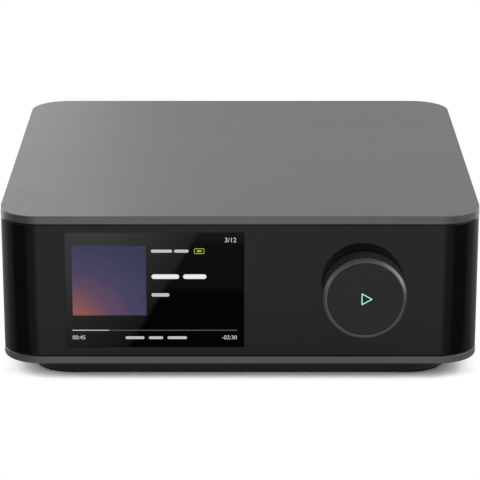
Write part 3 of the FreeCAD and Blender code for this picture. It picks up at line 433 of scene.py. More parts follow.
# Front cover: one glossy black moulding that wraps both corners of the case between the lip and
# the band. It is glued to a carrier inside, and has the window of the screen and a hole for
# the knob's shaft.
(_, cover_right), (cover_front, cover_end), (cover_low, cover_high) = ends("front_panel")
cover_t, cover_round = 2.2, 0.35
arc_middle = right - corner
arc_radius = cover_right - arc_middle


def cover_line(depth, steps=14):
    """Front outline of the cover at a depth under its face, from its right end to its left.

    Each corner is middle + r * (cos t, -sin t); both ends lie in one plane, so t starts at the
    angle whose sine is their distance from the arc's middle over r.
    """
    r = arc_radius - depth
    t = np.linspace(math.asin((mouth - cover_end) / r), math.pi / 2, steps)
    half = np.stack([arc_middle + r * np.cos(t), mouth - r * np.sin(t)], -1)
    return np.concatenate([half, half[::-1] * (-1, 1)])


section = closed(corner_loop((0.0, cover_t), (cover_low, cover_high), cover_round, 3))
sheet = np.stack([lying(cover_line(depth), z) for depth, z in section])
# The flat middle of its face and of its back is filled round the two openings instead
kept = np.ones((len(section) - 1, sheet.shape[1] - 1), bool)
flat_rows, flat_column = [11, 3], sheet.shape[1] // 2 - 1
kept[flat_rows, flat_column] = False
cover = [grid(sheet, kept)]
glass_x, glass_y, glass_z = ends("display_glass")
shaft_x, shaft_z = ends("volume_ring")[0].mean(), ends("volume_ring")[2].mean()
screen_window = box_hole(glass_x + (-0.1, 0.1), glass_z + (-0.1, 0.1), 0.5, 4)
shaft_hole = round_hole(shaft_x, shaft_z, 4.9, 8)
cover_holes, opening_round = (screen_window, shaft_hole), 0.12
cover_y = (cover_front, cover_front + cover_t)
for y, row in zip(cover_y, flat_rows):
    flat = np.array([sheet[row + i, flat_column + j] for i, j in ((0, 0), (1, 0), (1, 1), (0, 1))])
    cover.append(fill(flat, *[facing(loop(opening_round), y) for loop in cover_holes]))
cover += [walls(loop, cover_y, opening_round, facing) for loop in cover_holes]
cover += [fill(sheet[:-1, 0]), fill(sheet[:-1, -1])]
gloss_black = finish("gloss_black_cover", (0.004, 0.004, 0.0042), 0.07, grain=6.0, depth=0.0025,
                     shade=0.03, clouds=0.1, gloss=0.35, spread=30.0)
piece("front_cover", cover, gloss_black, ("front_panel",))

# Carrier: the black moulded frame inside, to which the cover is glued.
carry(finish("carrier_moulding", (0.02, 0.02, 0.02), 0.6, grain=0.6, depth=0.02, shade=0.15,
             clouds=0.1, gloss=0.12, spread=15.0), "front_frame")

# Screen: coated cover glass over the lit panel, flush in the window of the cover. Its emission
# paints a reflection at its upper left, as far as a slanting edge, with faint painted bands beyond
# that edge. The picture and the marks are its lit areas.
screen_black = finish("screen_glass", (0.0006, 0.0006, 0.0006), 0.06, grain=8.0, depth=0.001,
                      shade=0.02, clouds=0.05, gloss=0.4, spread=25.0,
                      plain={"Emission Strength": 1.0, "Specular IOR Level": 0.03})
tree = screen_black.node_tree
# Painted reflection: emission brightest towards the upper left up to a slanting edge, with two faint
# painted bands beyond it
spot = add(tree, "SeparateXYZ", {0: object_point(tree)})
slant = calc(tree, "MULTIPLY_ADD", spot["Z"], -0.59, spot["X"])
upward = mapped(tree, spot["Z"], 0.016, 0.066, 0.015, 0.042)
inward = mapped(tree, slant, -0.094, -0.056, 1.0, 0.33)
painted_reflection = calc(tree, "MULTIPLY", upward, inward)
low_reflection_band = mapped(tree, spot["Z"], 0.0405, 0.0425, 0.0, 0.0026)
high_reflection_band = mapped(tree, spot["Z"], 0.0600, 0.0640, 0.0, 0.0048)
reflection_bands = calc(tree, "ADD", low_reflection_band, high_reflection_band)
beyond_reflection_edge = mapped(tree, slant, -0.0575, -0.0545, interpolation_type="SMOOTHSTEP")
lit = shaded(tree, (0.97, 0.98, 1.0), blend(tree, beyond_reflection_edge, painted_reflection, reflection_bands))
set_shader(screen_black, {"Emission Color": lit})
piece("screen", plate([box_loop(glass_x, glass_z, 0.4, 4)], glass_y, 0.1, facing), screen_black,
      ("display_glass",))


def lit_finish(name, colour=None, pattern=None):
    """Gloss over a lit area: one colour with the slight unevenness of a film, or a picture."""
    look = finish(name, (0.01, 0.01, 0.01), 0.08, depth=0.0, shade=0.02, clouds=0.02, gloss=0.3,
                  spread=20.0, plain={"Emission Strength": 1.0})
    tree = look.node_tree
    if pattern:
        light = pattern(tree)
    else:
        cloud = add(tree, "Group", {"Size": 0.006}, node_tree=handling)["Cloud"]
        light = shaded(tree, colour, mapped(tree, cloud, *noise_span, 0.94, 1.04))
    set_shader(look, {"Emission Color": light})
    return look


film_y = (glass_y[0] - 0.02, glass_y[0] + 0.03)


def bar(x0, x1, z, height):
    """Plain bar with round ends in place of a word."""
    return plate([box_loop((x0, x1), about(z, height / 2), height / 2, 3)], film_y, 0.0, facing, 1)


def figures(text, x, z, height):
    """Plain figures of the font, with their left end at x and their foot at z."""
    curve = bpy.data.curves.new("figures", "FONT")
    curve.body = text
    curve.size = height / 0.7
    curve.extrude = (film_y[1] - film_y[0]) / 2
    holder = bpy.data.objects.new("figures", curve)
    drawn = bpy.data.meshes.new_from_object(holder)
    drawn.calc_loop_triangles()
    flat = np.zeros(len(drawn.vertices) * 3)
    drawn.vertices.foreach_get("co", flat)
    flat = flat.reshape(-1, 3)
    cut = np.zeros(len(drawn.loop_triangles) * 3, int)
    drawn.loop_triangles.foreach_get("vertices", cut)
    bpy.data.objects.remove(holder)
    bpy.data.meshes.remove(drawn)
    points = np.stack([x + flat[:, 0], sum(film_y) / 2 - flat[:, 2], z + flat[:, 1]], -1)
    return points, cut.reshape(-1, 3)


def dusk(tree):
    """Soft arcs about the lower left corner of the picture, from salmon through mauve to indigo.

    The colour follows the distance from that corner, in steps softened by a slow wave.
    """
    from_corner = {"Vector": object_point(tree), "Location": (0.074, 0.0, -0.026)}
    spot = add(tree, "Mapping", from_corner)[0]
    flat = add(tree, "VectorMath", {0: spot, 1: (1.0, 0.0, 1.25)}, operation="MULTIPLY")[0]
    away = add(tree, "VectorMath", {0: flat}, operation="LENGTH")["Value"]
    wave = calc(tree, "SINE", calc(tree, "MULTIPLY", away, 900.0))
    away = calc(tree, "MULTIPLY_ADD", wave, 0.0006, away)
    stops = [(0.0, (0.32, 0.10, 0.06)), (0.16, (0.21, 0.065, 0.065)), (0.34, (0.10, 0.043, 0.085)),
             (0.55, (0.043, 0.031, 0.09)), (0.8, (0.023, 0.023, 0.078)), (1.0, (0.016, 0.018, 0.062))]
    return ramp(tree, mapped(tree, away, 0.004, 0.052), stops)


picture = plate([box_loop((-69.6, -38.9), (29.9, 60.3), 0.3, 2)], film_y, 0.0, facing, 1)
titles = bar(-36.7, -25.2, 46.9, 2.0) + bar(-23.6, -13.9, 46.9, 2.0)
lines = sum([bar(*stretch) for stretch in (
    (-36.8, -29.3, 38.9, 1.5), (-36.8, -28.0, 58.0, 1.3), (-27.2, -21.2, 58.0, 1.3),
    (-47.8, -39.9, 20.0, 1.2), (-38.1, -32.1, 20.0, 1.2), (-30.3, -22.1, 20.0, 1.2),
    (-70.0, -54.6, 23.3, 0.4))], [])
badge = plate([box_loop((-19.0, -14.7), (56.8, 59.2), 0.5, 3),
               box_hole((-18.7, -15.0), (57.1, 58.9), 0.2, 3)], film_y, 0.0, facing, 1)
badge += bar(-17.9, -15.8, 58.0, 0.8)
numbers = [figures("3/12", -6.4, 61.9, 1.95), figures("00:45", -70.0, 19.3, 1.75),
           figures("-02:30", -7.6, 19.3, 1.75)]
for name, patches, look in [
        ("picture", picture, lit_finish("lit_picture", pattern=dusk)),
        ("titles", titles, lit_finish("lit_white", (0.80, 0.82, 0.82))),
        ("lines", lines, lit_finish("lit_grey", (0.50, 0.51, 0.52))),
        ("track", bar(-55.0, -1.1, 23.3, 0.4), lit_finish("lit_faint", (0.07, 0.072, 0.075))),
        ("badge", badge, lit_finish("lit_green", (0.34, 0.42, 0.03))),
        ("figures", numbers, lit_finish("lit_figures", (0.60, 0.61, 0.62)))]:
    piece("screen_" + name, patches, look)

# Screen module behind the glass: a liquid crystal panel with its backlight, on a steel plate,
# and the orange film cables that join screen and knob to the main board.
carry(finish("module_frame", (0.09, 0.09, 0.095), 0.45, gloss=0.2, spread=12.0), "display_module")
cable_film = finish("cable_film", (0.5, 0.3, 0.1), 0.35, grain=0.8, shade=0.08, clouds=0.1, gloss=0.2)
tree = cable_film.node_tree
tracks = add(tree, "TexWave", {"Vector": object_point(tree), "Scale": 320.0, "Distortion": 0.0},
             bands_direction="X")[1]
copper = add(tree, "Mix", {0: tracks, 6: (0.35, 0.19, 0.05, 1.0), 7: (0.62, 0.36, 0.13, 1.0)},
             data_type="RGBA")[2]
set_shader(cable_film, {"Base Color": copper})
carry(cable_film, "flat_cables")


# Volume ring: turned from aluminium bar, with a narrow flat rim and a bevel outside it, anodised
# dark grey. A thin web inside carries its hub, pressed on the hollow shaft of the encoder.
def turned(profile, x, z, steps=96, flutes=0, flute=0.0, beyond=0.0):
    """Body turned on an axis from front to back, from (radius, y) points.

    A point at radius r and turn t lies at (x + r cos t, y, z + r sin t). Flutes draw the points
    beyond a radius in by flute * (1 - cos(flutes * t)) / 2.
    """
    t = np.linspace(0, 2 * math.pi, steps + 1)
    t[-1] = 0.0
    profile = np.asarray(profile, float)
    draw = np.where(profile[:, :1] > beyond, flute * (1 - np.cos(flutes * t)) / 2, 0.0)
    r = profile[:, :1] - draw
    y = np.broadcast_to(profile[:, 1:], r.shape)
    return grid(np.stack([x + r * np.cos(t), y, z + r * np.sin(t)], -1))


def eased(corners, radius, steps=4):
    """A turned profile whose corners are rounded, as far as their shorter side allows.

    Between the points a distance d before and after a corner the line is the parabola
    (1 - s)^2 a + 2 s (1 - s) corner + s^2 b.
    """
    corners = np.asarray(corners, float)
    points = []
    for before, corner_point, after in zip(np.roll(corners, 1, 0), corners, np.roll(corners, -1, 0)):
        back, on = before - corner_point, after - corner_point
        reach = min(radius, 0.45 * np.linalg.norm(back), 0.45 * np.linalg.norm(on))
        a = corner_point + back / np.linalg.norm(back) * reach
        b = corner_point + on / np.linalg.norm(on) * reach
        s = np.linspace(0, 1, steps + 1)[:, None]
        points.append((1 - s) ** 2 * a + 2 * s * (1 - s) * corner_point + s ** 2 * b)
    return np.concatenate(points)


ring_x, (ring_front, ring_back), _ = ends("volume_ring")
ring_r = (ring_x[1] - ring_x[0]) / 2
web_back, hub_back = front - 6.4, front - 3.45
bore_r, flat_rim, bevel_depth = ring_r - 1.55, 0.5, 1.1
ring_line = eased([(bore_r, ring_front), (bore_r + flat_rim, ring_front),
                   (ring_r, ring_front + bevel_depth), (ring_r, ring_back), (ring_r - 2.0, ring_back),
                   (ring_r - 2.0, web_back), (5.2, web_back), (5.2, hub_back), (3.02, hub_back),
                   (3.02, web_back - 2.0), (bore_r, web_back - 2.0)], 0.1)
knob_black = metal("knob_aluminium", (0.22, 0.22, 0.224), 0.44, grain=0.14, depth=0.002,
                   shade=0.05, clouds=0.03, gloss=0.08, spread=20.0)
piece("knob_ring", [turned(closed(ring_line), shaft_x, shaft_z, 144)], knob_black,
      ("volume_ring",), "volume_ring")

# Press cap: the round black face inside the ring. It is pushed in like a button, does not turn,
# and has the play sign, a clear insert lit from behind through the light guide.
cap_r = bore_r - 0.1
cap_front, cap_back = ends("press_cap")[1] + (0.04, 0.0)
cap_line = [(0.0, cap_front), (cap_r - 0.04, cap_front), (cap_r, cap_front + 0.04), (cap_r, cap_back),
            (3.3, cap_back), (3.3, cap_back - 0.9), (0.0, cap_back - 0.9)]
face_black = finish("knob_face", (0.021, 0.021, 0.0215), 0.55, grain=0.18, shade=0.06, clouds=0.03,
                    gloss=0.08, spread=12.0, plain={"Specular IOR Level": 0.3})
piece("cap_face", [turned(cap_line, shaft_x, shaft_z, 144)], face_black,
      ("press_cap",), "press_cap")


def rounded_corners(middle, apothem, sides, first, radius, steps=5):
    """Outline with equal sides and round corners, as a function of how far it is drawn in.

    Each corner is an arc of the radius about a point at (apothem - radius) / cos(180 / sides)
    from the middle.
    """
    def loop(inset):
        reach = (apothem - inset - radius) / math.cos(math.pi / sides)
        way = np.radians(first + 360.0 / sides * np.arange(sides))[:, None]
        t = way + np.linspace(-math.pi / sides, math.pi / sides, steps + 1)
        return np.stack([middle[0] + reach * np.cos(way) + radius * np.cos(t),
                         middle[1] + reach * np.sin(way) + radius * np.sin(t)], -1).reshape(-1, 2)
    return loop


def triangle(inset):
    """Play sign outline, 4.6 wide and 5.3 high, its corners rounded, drawn in on every side."""
    sign_left, tip = shaft_x - 1.5, shaft_x + 3.1
    corners = np.array([(sign_left + inset, shaft_z - 2.65 + 1.75 * inset),
                        (tip - 2.0 * inset, shaft_z),
                        (sign_left + inset, shaft_z + 2.65 - 1.75 * inset)])
    return eased(corners, 0.45 - 0.4 * inset, 4)


stroke = 0.37
sign_y = (cap_front - 0.03, cap_front + 0.2)
sign = [tube(triangle(inset), sign_y, facing) for inset in (0.0, stroke)]
sign += [fill(facing(triangle(0.0), y), facing(triangle(stroke), y)) for y in sign_y]
piece("play_sign", sign, lit_finish("lit_mint", (0.50, 1.0, 0.87)), body="press_cap")
# Inside its lit outline the insert is dark and only takes a faint tint from it
tint_y = (cap_front - 0.01, cap_front + 0.2)
inside_sign = [tube(triangle(stroke), tint_y, facing)]
inside_sign += [fill(facing(triangle(stroke), y)) for y in tint_y]
tinted = lit_finish("sign_tint", (0.001, 0.017, 0.016))
set_shader(tinted, {"Specular IOR Level": 0.1})
piece("sign_middle", inside_sign, tinted, body="press_cap")

# Behind the ring: the encoder with its hollow shaft, the clear stem that runs through it to the
# push switch, and the small board that holds them.
carry(finish("clear_guide", (0.8, 0.85, 0.84), 0.12, grain=1.0, depth=0.002, shade=0.03, clouds=0.02,
             gloss=0.3, spread=5.0, plain={"Transmission Weight": 0.85, "IOR": 1.49}), "light_guide")
brass = metal("shaft_brass", (0.65, 0.48, 0.22), 0.3, grain=0.3, depth=0.003, gloss=0.2, spread=4.0)
carry(brass, "encoder_rotor")
nickel = metal("nickel_plating", (0.6, 0.58, 0.54), 0.24, grain=0.3, depth=0.002,
               shade=0.08, gloss=0.3, spread=3.0)
carry(nickel, "encoder_nut")
carry(finish("component_plastic", (0.02, 0.02, 0.021), 0.5, grain=0.4, depth=0.01, shade=0.15,
             spread=8.0), "encoder_body", "press_switch", "amp_chips", "phono_block")

# Rear panel: a black moulded plate that stands inside the rear wall, set in by its thickness.
# The sockets look out through it, and it carries the speaker posts.
panel_x, panel_y, panel_z = ends("rear_panel")
upper = ends("speaker_studs")[2].mean()
play, collar_bore, barrel_bore = (-0.2, 0.2), 3.25, 4.65
openings = [box_hole(ends(name)[0] + play, ends(name)[2] + play, 0.4, 3)
            for name in ("lan_socket", "usb_socket", "hdmi_socket", "optical_socket",
                         "inlet_body", "trigger_jack")]
post_x = [ends("post_cap_%d" % (i + 1))[0].mean() for i in range(4)]
phono_colours = ("white", "red", "black")
phono_x = [ends("phono_" + colour)[0].mean() for colour in phono_colours]
openings += [round_hole(x, upper, collar_bore) for x in post_x]
openings += [round_hole(x, upper, barrel_bore) for x in phono_x]
rear_black = finish("rear_moulding", (0.018, 0.018, 0.0185), 0.55, grain=0.45, depth=0.022, shade=0.18,
                    clouds=0.1, gloss=0.14, spread=22.0)
piece("rear_plate", plate([box_loop(panel_x, panel_z, 0.5, 3)] + openings, panel_y, 0.2, facing),
      rear_black, ("rear_panel",))


# Mains inlet: a black moulded body with the figure-of-eight recess, and two plated pins in it.
def pocket(outer, opening, face, floor, back, edge=0.15):
    """Block seen from behind the amplifier: an outline with an opening that ends at a floor."""
    rounds = list(zip(*quarter_round(edge)))
    sides = [grid(np.stack([facing(closed(loop(inset)), face - depth) for inset, depth in rounds]
                           + [facing(closed(loop(0.0)), end)]))
             for loop, end in ((outer, back), (opening, floor))]
    return sides + [fill(facing(outer(edge), face), facing(opening(edge), face)),
                    fill(facing(outer(0.0), back)), fill(facing(opening(0.0), floor))]


def figure_eight(inset):
    """Two arcs of a circle about points side by side, joined where they meet the bridge."""
    radius, half, bridge = 4.4 + inset, 4.3, 3.08 + inset
    start = math.asin(bridge / radius)
    t = np.linspace(math.pi - start, -(math.pi - start), 21)[::-1]
    right_lobe = np.stack([half + radius * np.cos(t), radius * np.sin(t)], -1)
    return np.concatenate([right_lobe, -right_lobe]) + (inlet_x.mean(), inlet_z.mean())


inlet_x, inlet_y, inlet_z = ends("inlet_body")
socket_black = finish("socket_moulding", (0.02, 0.02, 0.02), 0.42, depth=0.01, shade=0.12, spread=9.0)
piece("inlet", pocket(box_loop(inlet_x, inlet_z, 1.2, 4), figure_eight, inlet_y[1], inlet_y[1] - 15.0,
                      inlet_y[0], 0.3), socket_black, ("inlet_body",))
pin_ends = ends("inlet_pins")
pins = []
for side in (-1, 1):
    pin_x = inlet_x.mean() + side * 4.3
    pin_line = [(0.0, pin_ends[1][0]), (1.15, pin_ends[1][0]), (1.15, pin_ends[1][1] - 0.8),
                (0.95, pin_ends[1][1] - 0.25), (0.5, pin_ends[1][1]), (0.0, pin_ends[1][1])]
    pins.append(turned(pin_line, pin_x, inlet_z.mean(), 24))
piece("mains_pins", pins, nickel, ("inlet_pins",))

# Speaker posts: nickel-plated studs bored for a plug, each through a hexagonal insulating
# collar. A captive ring on the flats of the stud clamps the bare wire when the cap is screwed in.
studs, collars = [], {"red": [], "black": []}
stud_front, stud_end = ends("speaker_studs")[1]
collar_end = ends("red_collars")[1][1]
post_colours = ("black", "red", "black", "red")
for x, colour in zip(post_x, post_colours):
    middle = (x, upper)
    studs += pocket(rounded_corners(middle, 2.77, 8, 22.5, 0.25, 2), round_hole(x, upper, 2.05, 8),
                    stud_end, stud_end - 12.0, stud_front, 0.2)
    hexagon = rounded_corners(middle, 6.5, 6, 30.0, 0.7)
    collars[colour] += plate([hexagon, round_hole(x, upper, collar_bore, 8)],
                             (panel_y[1], collar_end), 0.3, facing)
piece("studs", studs, nickel, ("speaker_studs",))
red = finish("red_moulding", (0.5, 0.02, 0.02), 0.34, grain=0.4, depth=0.006, shade=0.06, clouds=0.06,
             spread=5.0)
black = finish("black_cap_moulding", (0.02, 0.02, 0.02), 0.34, grain=0.4, depth=0.006, shade=0.12,
               clouds=0.1, spread=5.0)
looks = {"red": red, "black": black}
for colour, look in looks.items():
    piece(colour + "_collar_pair", collars[colour], look, (colour + "_collars",))
for number, (x, colour) in enumerate(zip(post_x, post_colours), 1):
    clamp_y = ends("clamp_ring_%d" % number)[1]
    piece("clamp_%d" % number, plate([rounded_corners((x, upper), 5.2, 6, 30.0, 0.5),
                                      rounded_corners((x, upper), 2.89, 8, 22.5, 0.2, 2)],
                                     clamp_y, 0.0, facing, 1), nickel,
          ("clamp_ring_%d" % number,), "clamp_%d" % number, bevel=0.2)
    low, high = ends("post_cap_%d" % number)[1]
    line = eased([(3.12, low), (6.0, low), (6.0, high - 2.6), (5.45, high - 2.3), (5.45, high - 1.9),
                  (6.0, high - 1.6), (6.0, high), (2.9, high), (2.35, high - 0.5), (2.35, high - 1.4),
                  (3.12, high - 1.4)], 0.4)
    piece("cap_%d" % number, [turned(closed(line), x, upper, 144, 12, 0.5, 5.5)],
          looks[colour], ("post_cap_%d" % number,), "cap_%d" % number)

# Phono sockets: plated barrels with a coloured insulator inside each, in one moulded block.
barrels = []
barrel_low, barrel_high = ends("phono_barrels")[1]
core_high = ends("phono_white")[1][1]
for x in phono_x:
    barrels.append(turned(closed(eased(
        [(3.3, barrel_low), (4.4, barrel_low), (4.4, panel_y[1] - 0.1), (4.15, panel_y[1] + 0.4),
         (4.15, barrel_high), (3.3, barrel_high)], 0.25)), x, upper, 72))
piece("phono_shells", barrels, nickel, ("phono_barrels",))
looks["white"] = finish("white_moulding", (0.75, 0.75, 0.73), 0.4, grain=0.4, depth=0.006, shade=0.04,
                    clouds=0.05, spread=4.0)
for x, colour in zip(phono_x, phono_colours):
    line = [(0.0, barrel_low), (3.29, barrel_low), (3.29, core_high - 0.2), (3.1, core_high),
            (2.0, core_high), (1.65, core_high - 0.4), (1.65, core_high - 8.0), (0.0, core_high - 8.0)]
    piece("phono_core_" + colour, [turned(line, x, upper, 64)], looks[colour],
          ("phono_" + colour,))

# Sockets of the main board: shielded steel cases for network, data and video, a moulded
# optical socket with its flap, and a small round jack. Their contacts are gold-plated.
gold = metal("gold_plating", (0.80, 0.56, 0.20), 0.25, grain=0.2, depth=0.001,
             shade=0.05, clouds=0.05, gloss=0.2, spread=2.0)


def steps_outline(x, z, half):
    """Outline from its right half about (x, z), as a function that widens it on every side."""
    points = np.roll(np.concatenate([half, np.array(half)[::-1] * (-1, 1)]), 1, 0) + (x, z)
    middle = (points.max(0) + points.min(0)) / 2

    def loop(inset):
        return points + np.sign(points - middle) * inset
    return loop


socket_steel = metal("socket_steel", (0.5, 0.5, 0.5), 0.3, grain=0.25, depth=0.002,
                     shade=0.08, gloss=0.2, spread=5.0)


def socket_case(name, opening, depth, edge, radius, look=socket_steel):
    """Case of a socket with the outline of its node and an opening of a depth at its face."""
    x, y, z = ends(name + "_socket")
    case = pocket(box_loop(x, z, radius, 3), opening, y[1], y[1] - depth, y[0], edge)
    piece(name + "_case", case, look, (name + "_socket",))


def contact_row(count, pitch, x, half, z, y, radius):
    """Flat contacts side by side about a middle."""
    middles = [x + (i - (count - 1) / 2) * pitch for i in range(count)]
    return sum([plate([box_loop(about(at, half), z, radius, 2)], y, 0.0, facing, 1)
                for at in middles], [])


def face_middle(node):
    """Middle of a socket's face, as x, y and z."""
    x, y, z = ends(node)
    return x.mean(), y[1], z.mean()


lan_x, lan_face, _ = face_middle("lan_socket")
lan_top = ends("lan_socket")[2][1]
lan_half = [(3.1, -11.6), (3.1, -9.2), (5.95, -9.2), (5.95, -1.8)]
socket_case("lan", steps_outline(lan_x, lan_top, lan_half), 14.0, 0.12, 0.4)
contacts = contact_row(8, 1.02, lan_x, 0.17, (lan_top - 3.4, lan_top - 3.1),
                       (lan_face - 13.9, lan_face - 2.5), 0.1)
data_x, data_face, data_z = face_middle("usb_socket")
socket_case("usb", box_hole(about(data_x, 6.25), about(data_z, 2.56), 0.3, 3), 12.0, 0.12, 0.5)
data_tongue = [box_loop(about(data_x, 5.55), (data_z + 0.3, data_z + 2.14), 0.2, 3)]
piece("usb_tongue", plate(data_tongue, (data_face - 12.05, data_face - 1.0), 0.15, facing),
      looks["white"])
contacts += contact_row(4, 2.3, data_x, 0.5, (data_z + 0.22, data_z + 0.4),
                        (data_face - 11.5, data_face - 1.8), 0.05)
video_x, video_face, video_z = face_middle("hdmi_socket")
video_half = [(5.4, -2.28), (7.0, -0.68), (7.0, 2.28)]
socket_case("hdmi", steps_outline(video_x, video_z, video_half), 9.0, 0.1, 0.4)
video_tongue = [box_loop(about(video_x, 5.85), (video_z - 0.6, video_z + 1.0), 0.15, 3)]
piece("hdmi_tongue", plate(video_tongue, (video_face - 9.05, video_face - 1.0), 0.12, facing),
      socket_black)
contacts += contact_row(10, 1.0, video_x, 0.2, (video_z + 0.95, video_z + 1.06),
                        (video_face - 8.5, video_face - 1.6), 0.03)
piece("socket_contacts", contacts, gold)
optical_x, _, optical_z = face_middle("optical_socket")
socket_case("optical", box_hole(about(optical_x, 3.6), about(optical_z, 3.6), 0.3, 3), 8.5, 0.2, 0.5,
            socket_black)
flap_x, flap_y, flap_z = ends("optical_shutter")
pin_r = 0.5
pin_middle = (flap_y.mean(), flap_z[1] - pin_r)
flap = plate([box_loop(about(optical_x, 3.4), (flap_z[0], pin_middle[1]), 0.25, 3)],
             about(pin_middle[0], 0.35), 0.12, facing)
# The pin that the flap swings on: a round bar with closed ends
pin_t = np.linspace(0, 2 * math.pi, 25)
pin_t[-1] = 0.0
pin_circle = np.stack([np.cos(pin_t), np.sin(pin_t)], -1)
pin_rows = [np.column_stack([np.full(len(pin_t), x), r * pin_circle + pin_middle])
            for x, r in zip(np.repeat(flap_x, 2), (0.0, pin_r, pin_r, 0.0))]
flap_grey = finish("flap_moulding", (0.03, 0.03, 0.032), 0.4, grain=0.4, depth=0.006, spread=4.0)
piece("optical_flap", flap + [grid(np.stack(pin_rows))], flap_grey,
      ("optical_shutter",), "optical_shutter")
jack = ends("trigger_jack")
jack_x, jack_end, jack_z = face_middle("trigger_jack")
jack_face = jack_end - 0.8
jack_block = box_loop(jack[0], jack[2], 0.4, 3)
piece("jack_case", [walls(jack_block, (jack[1][0], jack_face), 0.12, facing),
                    fill(facing(jack_block(0.12), jack_face),
                         facing(round_hole(jack_x, jack_z, 2.9, 8)(0.0), jack_face)),
                    fill(facing(jack_block(0.12), jack[1][0])),
                    turned([(2.9, jack_face), (2.9, jack_end - 0.2), (2.7, jack_end), (2.0, jack_end),
                            (1.8, jack_end - 0.2), (1.8, jack_end - 11.0), (0.0, jack_end - 11.0)],
                           jack_x, jack_z, 32)], socket_black, ("trigger_jack",))

# Circuit boards: green solder mask over copper tracks on glass fibre, on hexagonal spacers. The
# two radio boards on the sides of the carrier look the same.
mask_green = finish("solder_mask", (0.02, 0.09, 0.04), 0.3, grain=1.2, depth=0.01, gloss=0.2,
                    spread=20.0)
runs = add(mask_green.node_tree, "TexBrick", {
    "Vector": object_point(mask_green.node_tree), "Scale": 260.0, "Mortar Size": 0.02, "Bias": -0.2,
    "Color1": (0.022, 0.11, 0.045, 1.0), "Color2": (0.014, 0.07, 0.032, 1.0),
    "Mortar": (0.03, 0.16, 0.07, 1.0)}, offset_frequency=3)[0]
set_shader(mask_green, {"Base Color": runs})
carry(mask_green, "main_board", "power_board", "terminal_board", "knob_board", "wifi_antennas")
carry(brass, "standoffs", "board_links")

# Parts on the boards: heat sink over the amplifier chips, shielded coils, capacitors in their
# sleeves, ferrite transformer and mains choke, and the tin lid over the processor.
carry(metal("sink_aluminium", (0.33, 0.33, 0.335), 0.4, shade=0.08, clouds=0.06,
            spread=10.0), "heat_sink")
carry(metal("tinned_lid", (0.55, 0.55, 0.54), 0.32, grain=0.6, depth=0.003, shade=0.08,
            gloss=0.25, spread=7.0), "shield_can")
carry(finish("ferrite", (0.05, 0.05, 0.052), 0.6, depth=0.015, shade=0.2, clouds=0.1, gloss=0.12),
      "output_inductors", "transformer", "mains_choke")
carry(finish("capacitor_sleeve", (0.022, 0.024, 0.03), 0.35, grain=0.6, gloss=0.2), "capacitors")


# Table: a white floor that keeps the soft contact shadow of the case, deeper along both sides.
# Gloss and metal see it darker, with a black cloth beside each front corner, and it is clear
# from below.
def seen_directly(tree):
    """Outputs of a light path, and 1 for rays straight from the camera or through glass."""
    rays = add(tree, "LightPath")
    return rays, calc(tree, "MAXIMUM", rays["Is Camera Ray"], rays["Is Transmission Ray"])


ground = bpy.data.meshes.new("floor")
floor_z = -0.00005
ground.from_pydata([(-4, -4, floor_z), (4, -4, floor_z), (4, 4, floor_z), (-4, 4, floor_z)], [],
                   [(0, 1, 2, 3)])
floor = bpy.data.objects.new("floor", ground)
scene.collection.objects.link(floor)
pale = bpy.data.materials.new("pale_floor")
pale.use_nodes = True
tree = pale.node_tree
tree.nodes.clear()
near = add(tree, "AmbientOcclusion", {"Distance": 0.013}, samples=16)["AO"]
contact = calc(tree, "POWER", mapped(tree, near, 0.205, 0.50, 1.0, 0.0), 2.0)
contact = calc(tree, "SUBTRACT", 1.0, contact)
spot = add(tree, "SeparateXYZ", {0: object_point(tree)})
across = calc(tree, "ABSOLUTE", spot["X"])
along = calc(tree, "ABSOLUTE", spot["Y"])
# The light comes from the front, so the shadow is deeper along both sides, most of all the right
beside = mapped(tree, across, 0.081, 0.1015, clamp=False)
beyond = mapped(tree, along, 0.0795, 0.091)
side = add(tree, "TexGradient", {"Vector": add(tree, "CombineXYZ", {0: beside, 1: beyond})[0]},
           gradient_type="SPHERICAL")[1]
side = calc(tree, "MULTIPLY", side, mapped(tree, spot["X"], -0.06, 0.06, 0.52, 0.75))
contact = calc(tree, "MULTIPLY", contact, calc(tree, "SUBTRACT", 1.0, side))
wide = add(tree, "AmbientOcclusion", {"Distance": 0.14}, samples=16)["AO"]
around = mapped(tree, wide, 0.5, 1.0, 0.22, 0.49)
# The cloths: the bearing about a front corner, from straight ahead at 0 to straight back at 180
off = calc(tree, "SUBTRACT", across, 0.083)
ahead = calc(tree, "SUBTRACT", -0.096, spot["Y"])
bearing = mapped(tree, calc(tree, "ARCTAN2", off, ahead), 0.0, math.pi)
bearings = [(10.0, 1.0), (24.0, 0.34), (38.0, 0.28), (50.0, 0.03), (86.0, 0.03), (98.0, 0.30),
            (112.0, 0.36), (122.0, 0.60), (136.0, 0.56), (150.0, 0.66)]
cloths = ramp(tree, bearing, [(degrees / 180.0, (level,) * 3) for degrees, level in bearings])
from_corner = add(tree, "CombineXYZ", {0: off, 1: ahead})[0]
from_corner = add(tree, "VectorMath", {0: from_corner}, operation="LENGTH")["Value"]
cloth = blend(tree, mapped(tree, from_corner, 0.018, 0.036), 1.0, cloths)
around = calc(tree, "MULTIPLY", around, cloth)
rays, direct = seen_directly(tree)
white = (1.0, 1.0, 1.0, 1.0)
seen, mirrored = [add(tree, "Emission", {"Color": white, "Strength": level})[0]
                  for level in (contact, around)]
lighting = add(tree, "BsdfDiffuse", {"Color": (0.8, 0.8, 0.8, 1.0)})[0]
other = add(tree, "MixShader", {0: rays["Is Glossy Ray"], 1: lighting, 2: mirrored})[0]
above = add(tree, "MixShader", {0: direct, 1: other, 2: seen})[0]
below = add(tree, "NewGeometry")["Backfacing"]
clear_side = add(tree, "BsdfTransparent")[0]
surface = add(tree, "MixShader", {0: below, 1: above, 2: clear_side})[0]
add(tree, "OutputMaterial", {"Surface": surface})
ground.materials.append(pale)

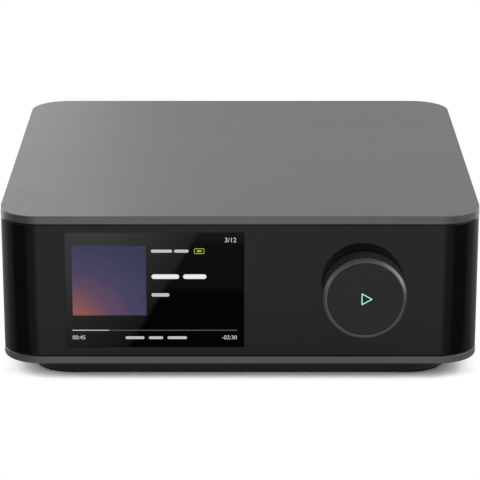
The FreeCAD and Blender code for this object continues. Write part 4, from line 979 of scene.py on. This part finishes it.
# Studio: white light all round, which gloss and metal see dimmer in front and overhead and
# strongest low at the sides. One lamp behind on the left lightens the top, one on the right the
# knob's bevel, and two low ones at the sides the ends of lip and band.
world = bpy.data.worlds.new("studio")
scene.world = world
world.use_nodes = True
tree = world.node_tree
tree.nodes.clear()
way = add(tree, "SeparateXYZ", {0: add(tree, "TexCoord")["Generated"]})
mirrored = mapped(tree, way["Y"], -1.0, 0.6, 0.42, 0.74)
overhead = mapped(tree, way["Z"], 0.38, 0.72, 1.0, 0.45)
above_front = mapped(tree, way["Z"], 0.1, 0.4, 1.0, 0.42)
in_front = mapped(tree, way["Y"], -0.1, 0.3, 1.0, 0.0)
mirrored = calc(tree, "MULTIPLY", mirrored, blend(tree, in_front, overhead, above_front))
near_table = mapped(tree, way["Z"], 0.1, 0.4, 1.0, 0.0)
for towards, most, ahead_share in ((-1.0, 0.85, 0.5), (1.0, 0.9, 1.0)):
    sideways = mapped(tree, calc(tree, "MULTIPLY", way["X"], towards), 0.4, 0.9, 0.0, most)
    behind = mapped(tree, way["Y"], -0.3, 0.1, ahead_share, 1.0)
    sideways = calc(tree, "MULTIPLY", sideways, behind)
    mirrored = calc(tree, "MULTIPLY_ADD", sideways, near_table, mirrored)
rays, direct = seen_directly(tree)
strength = blend(tree, direct, blend(tree, rays["Is Glossy Ray"], 0.8, mirrored), 1.0)
sky = add(tree, "Background", {"Color": white, "Strength": strength})[0]
add(tree, "OutputWorld", {"Surface": sky})
for lamp_name, lamp_at, aim, lamp_size, power in [
        ("back_lamp", (-0.27, 0.40, 0.21), (-0.06, 0.0, 0.073), (0.40, 0.40), 0.24),
        ("knob_lamp", (0.50, -0.20, 0.25), (0.051, -0.107, 0.041), (0.42, 0.42), 0.55),
        ("left_lamp", (-0.35, 0.20, 0.035), (-0.098, -0.085, 0.035), (0.16, 0.06), 0.30),
        ("right_lamp", (0.35, 0.20, 0.035), (0.098, -0.085, 0.035), (0.16, 0.06), 0.22)]:
    light = bpy.data.lights.new(lamp_name, "AREA")
    light.shape, light.energy = "RECTANGLE", power
    light.size, light.size_y = lamp_size
    lamp = bpy.data.objects.new(lamp_name, light)
    lamp.location = lamp_at
    lamp.rotation_euler = (Vector(aim) - Vector(lamp_at)).to_track_quat("-Z", "Y").to_euler()
    lamp.visible_camera = False
    scene.collection.objects.link(lamp)
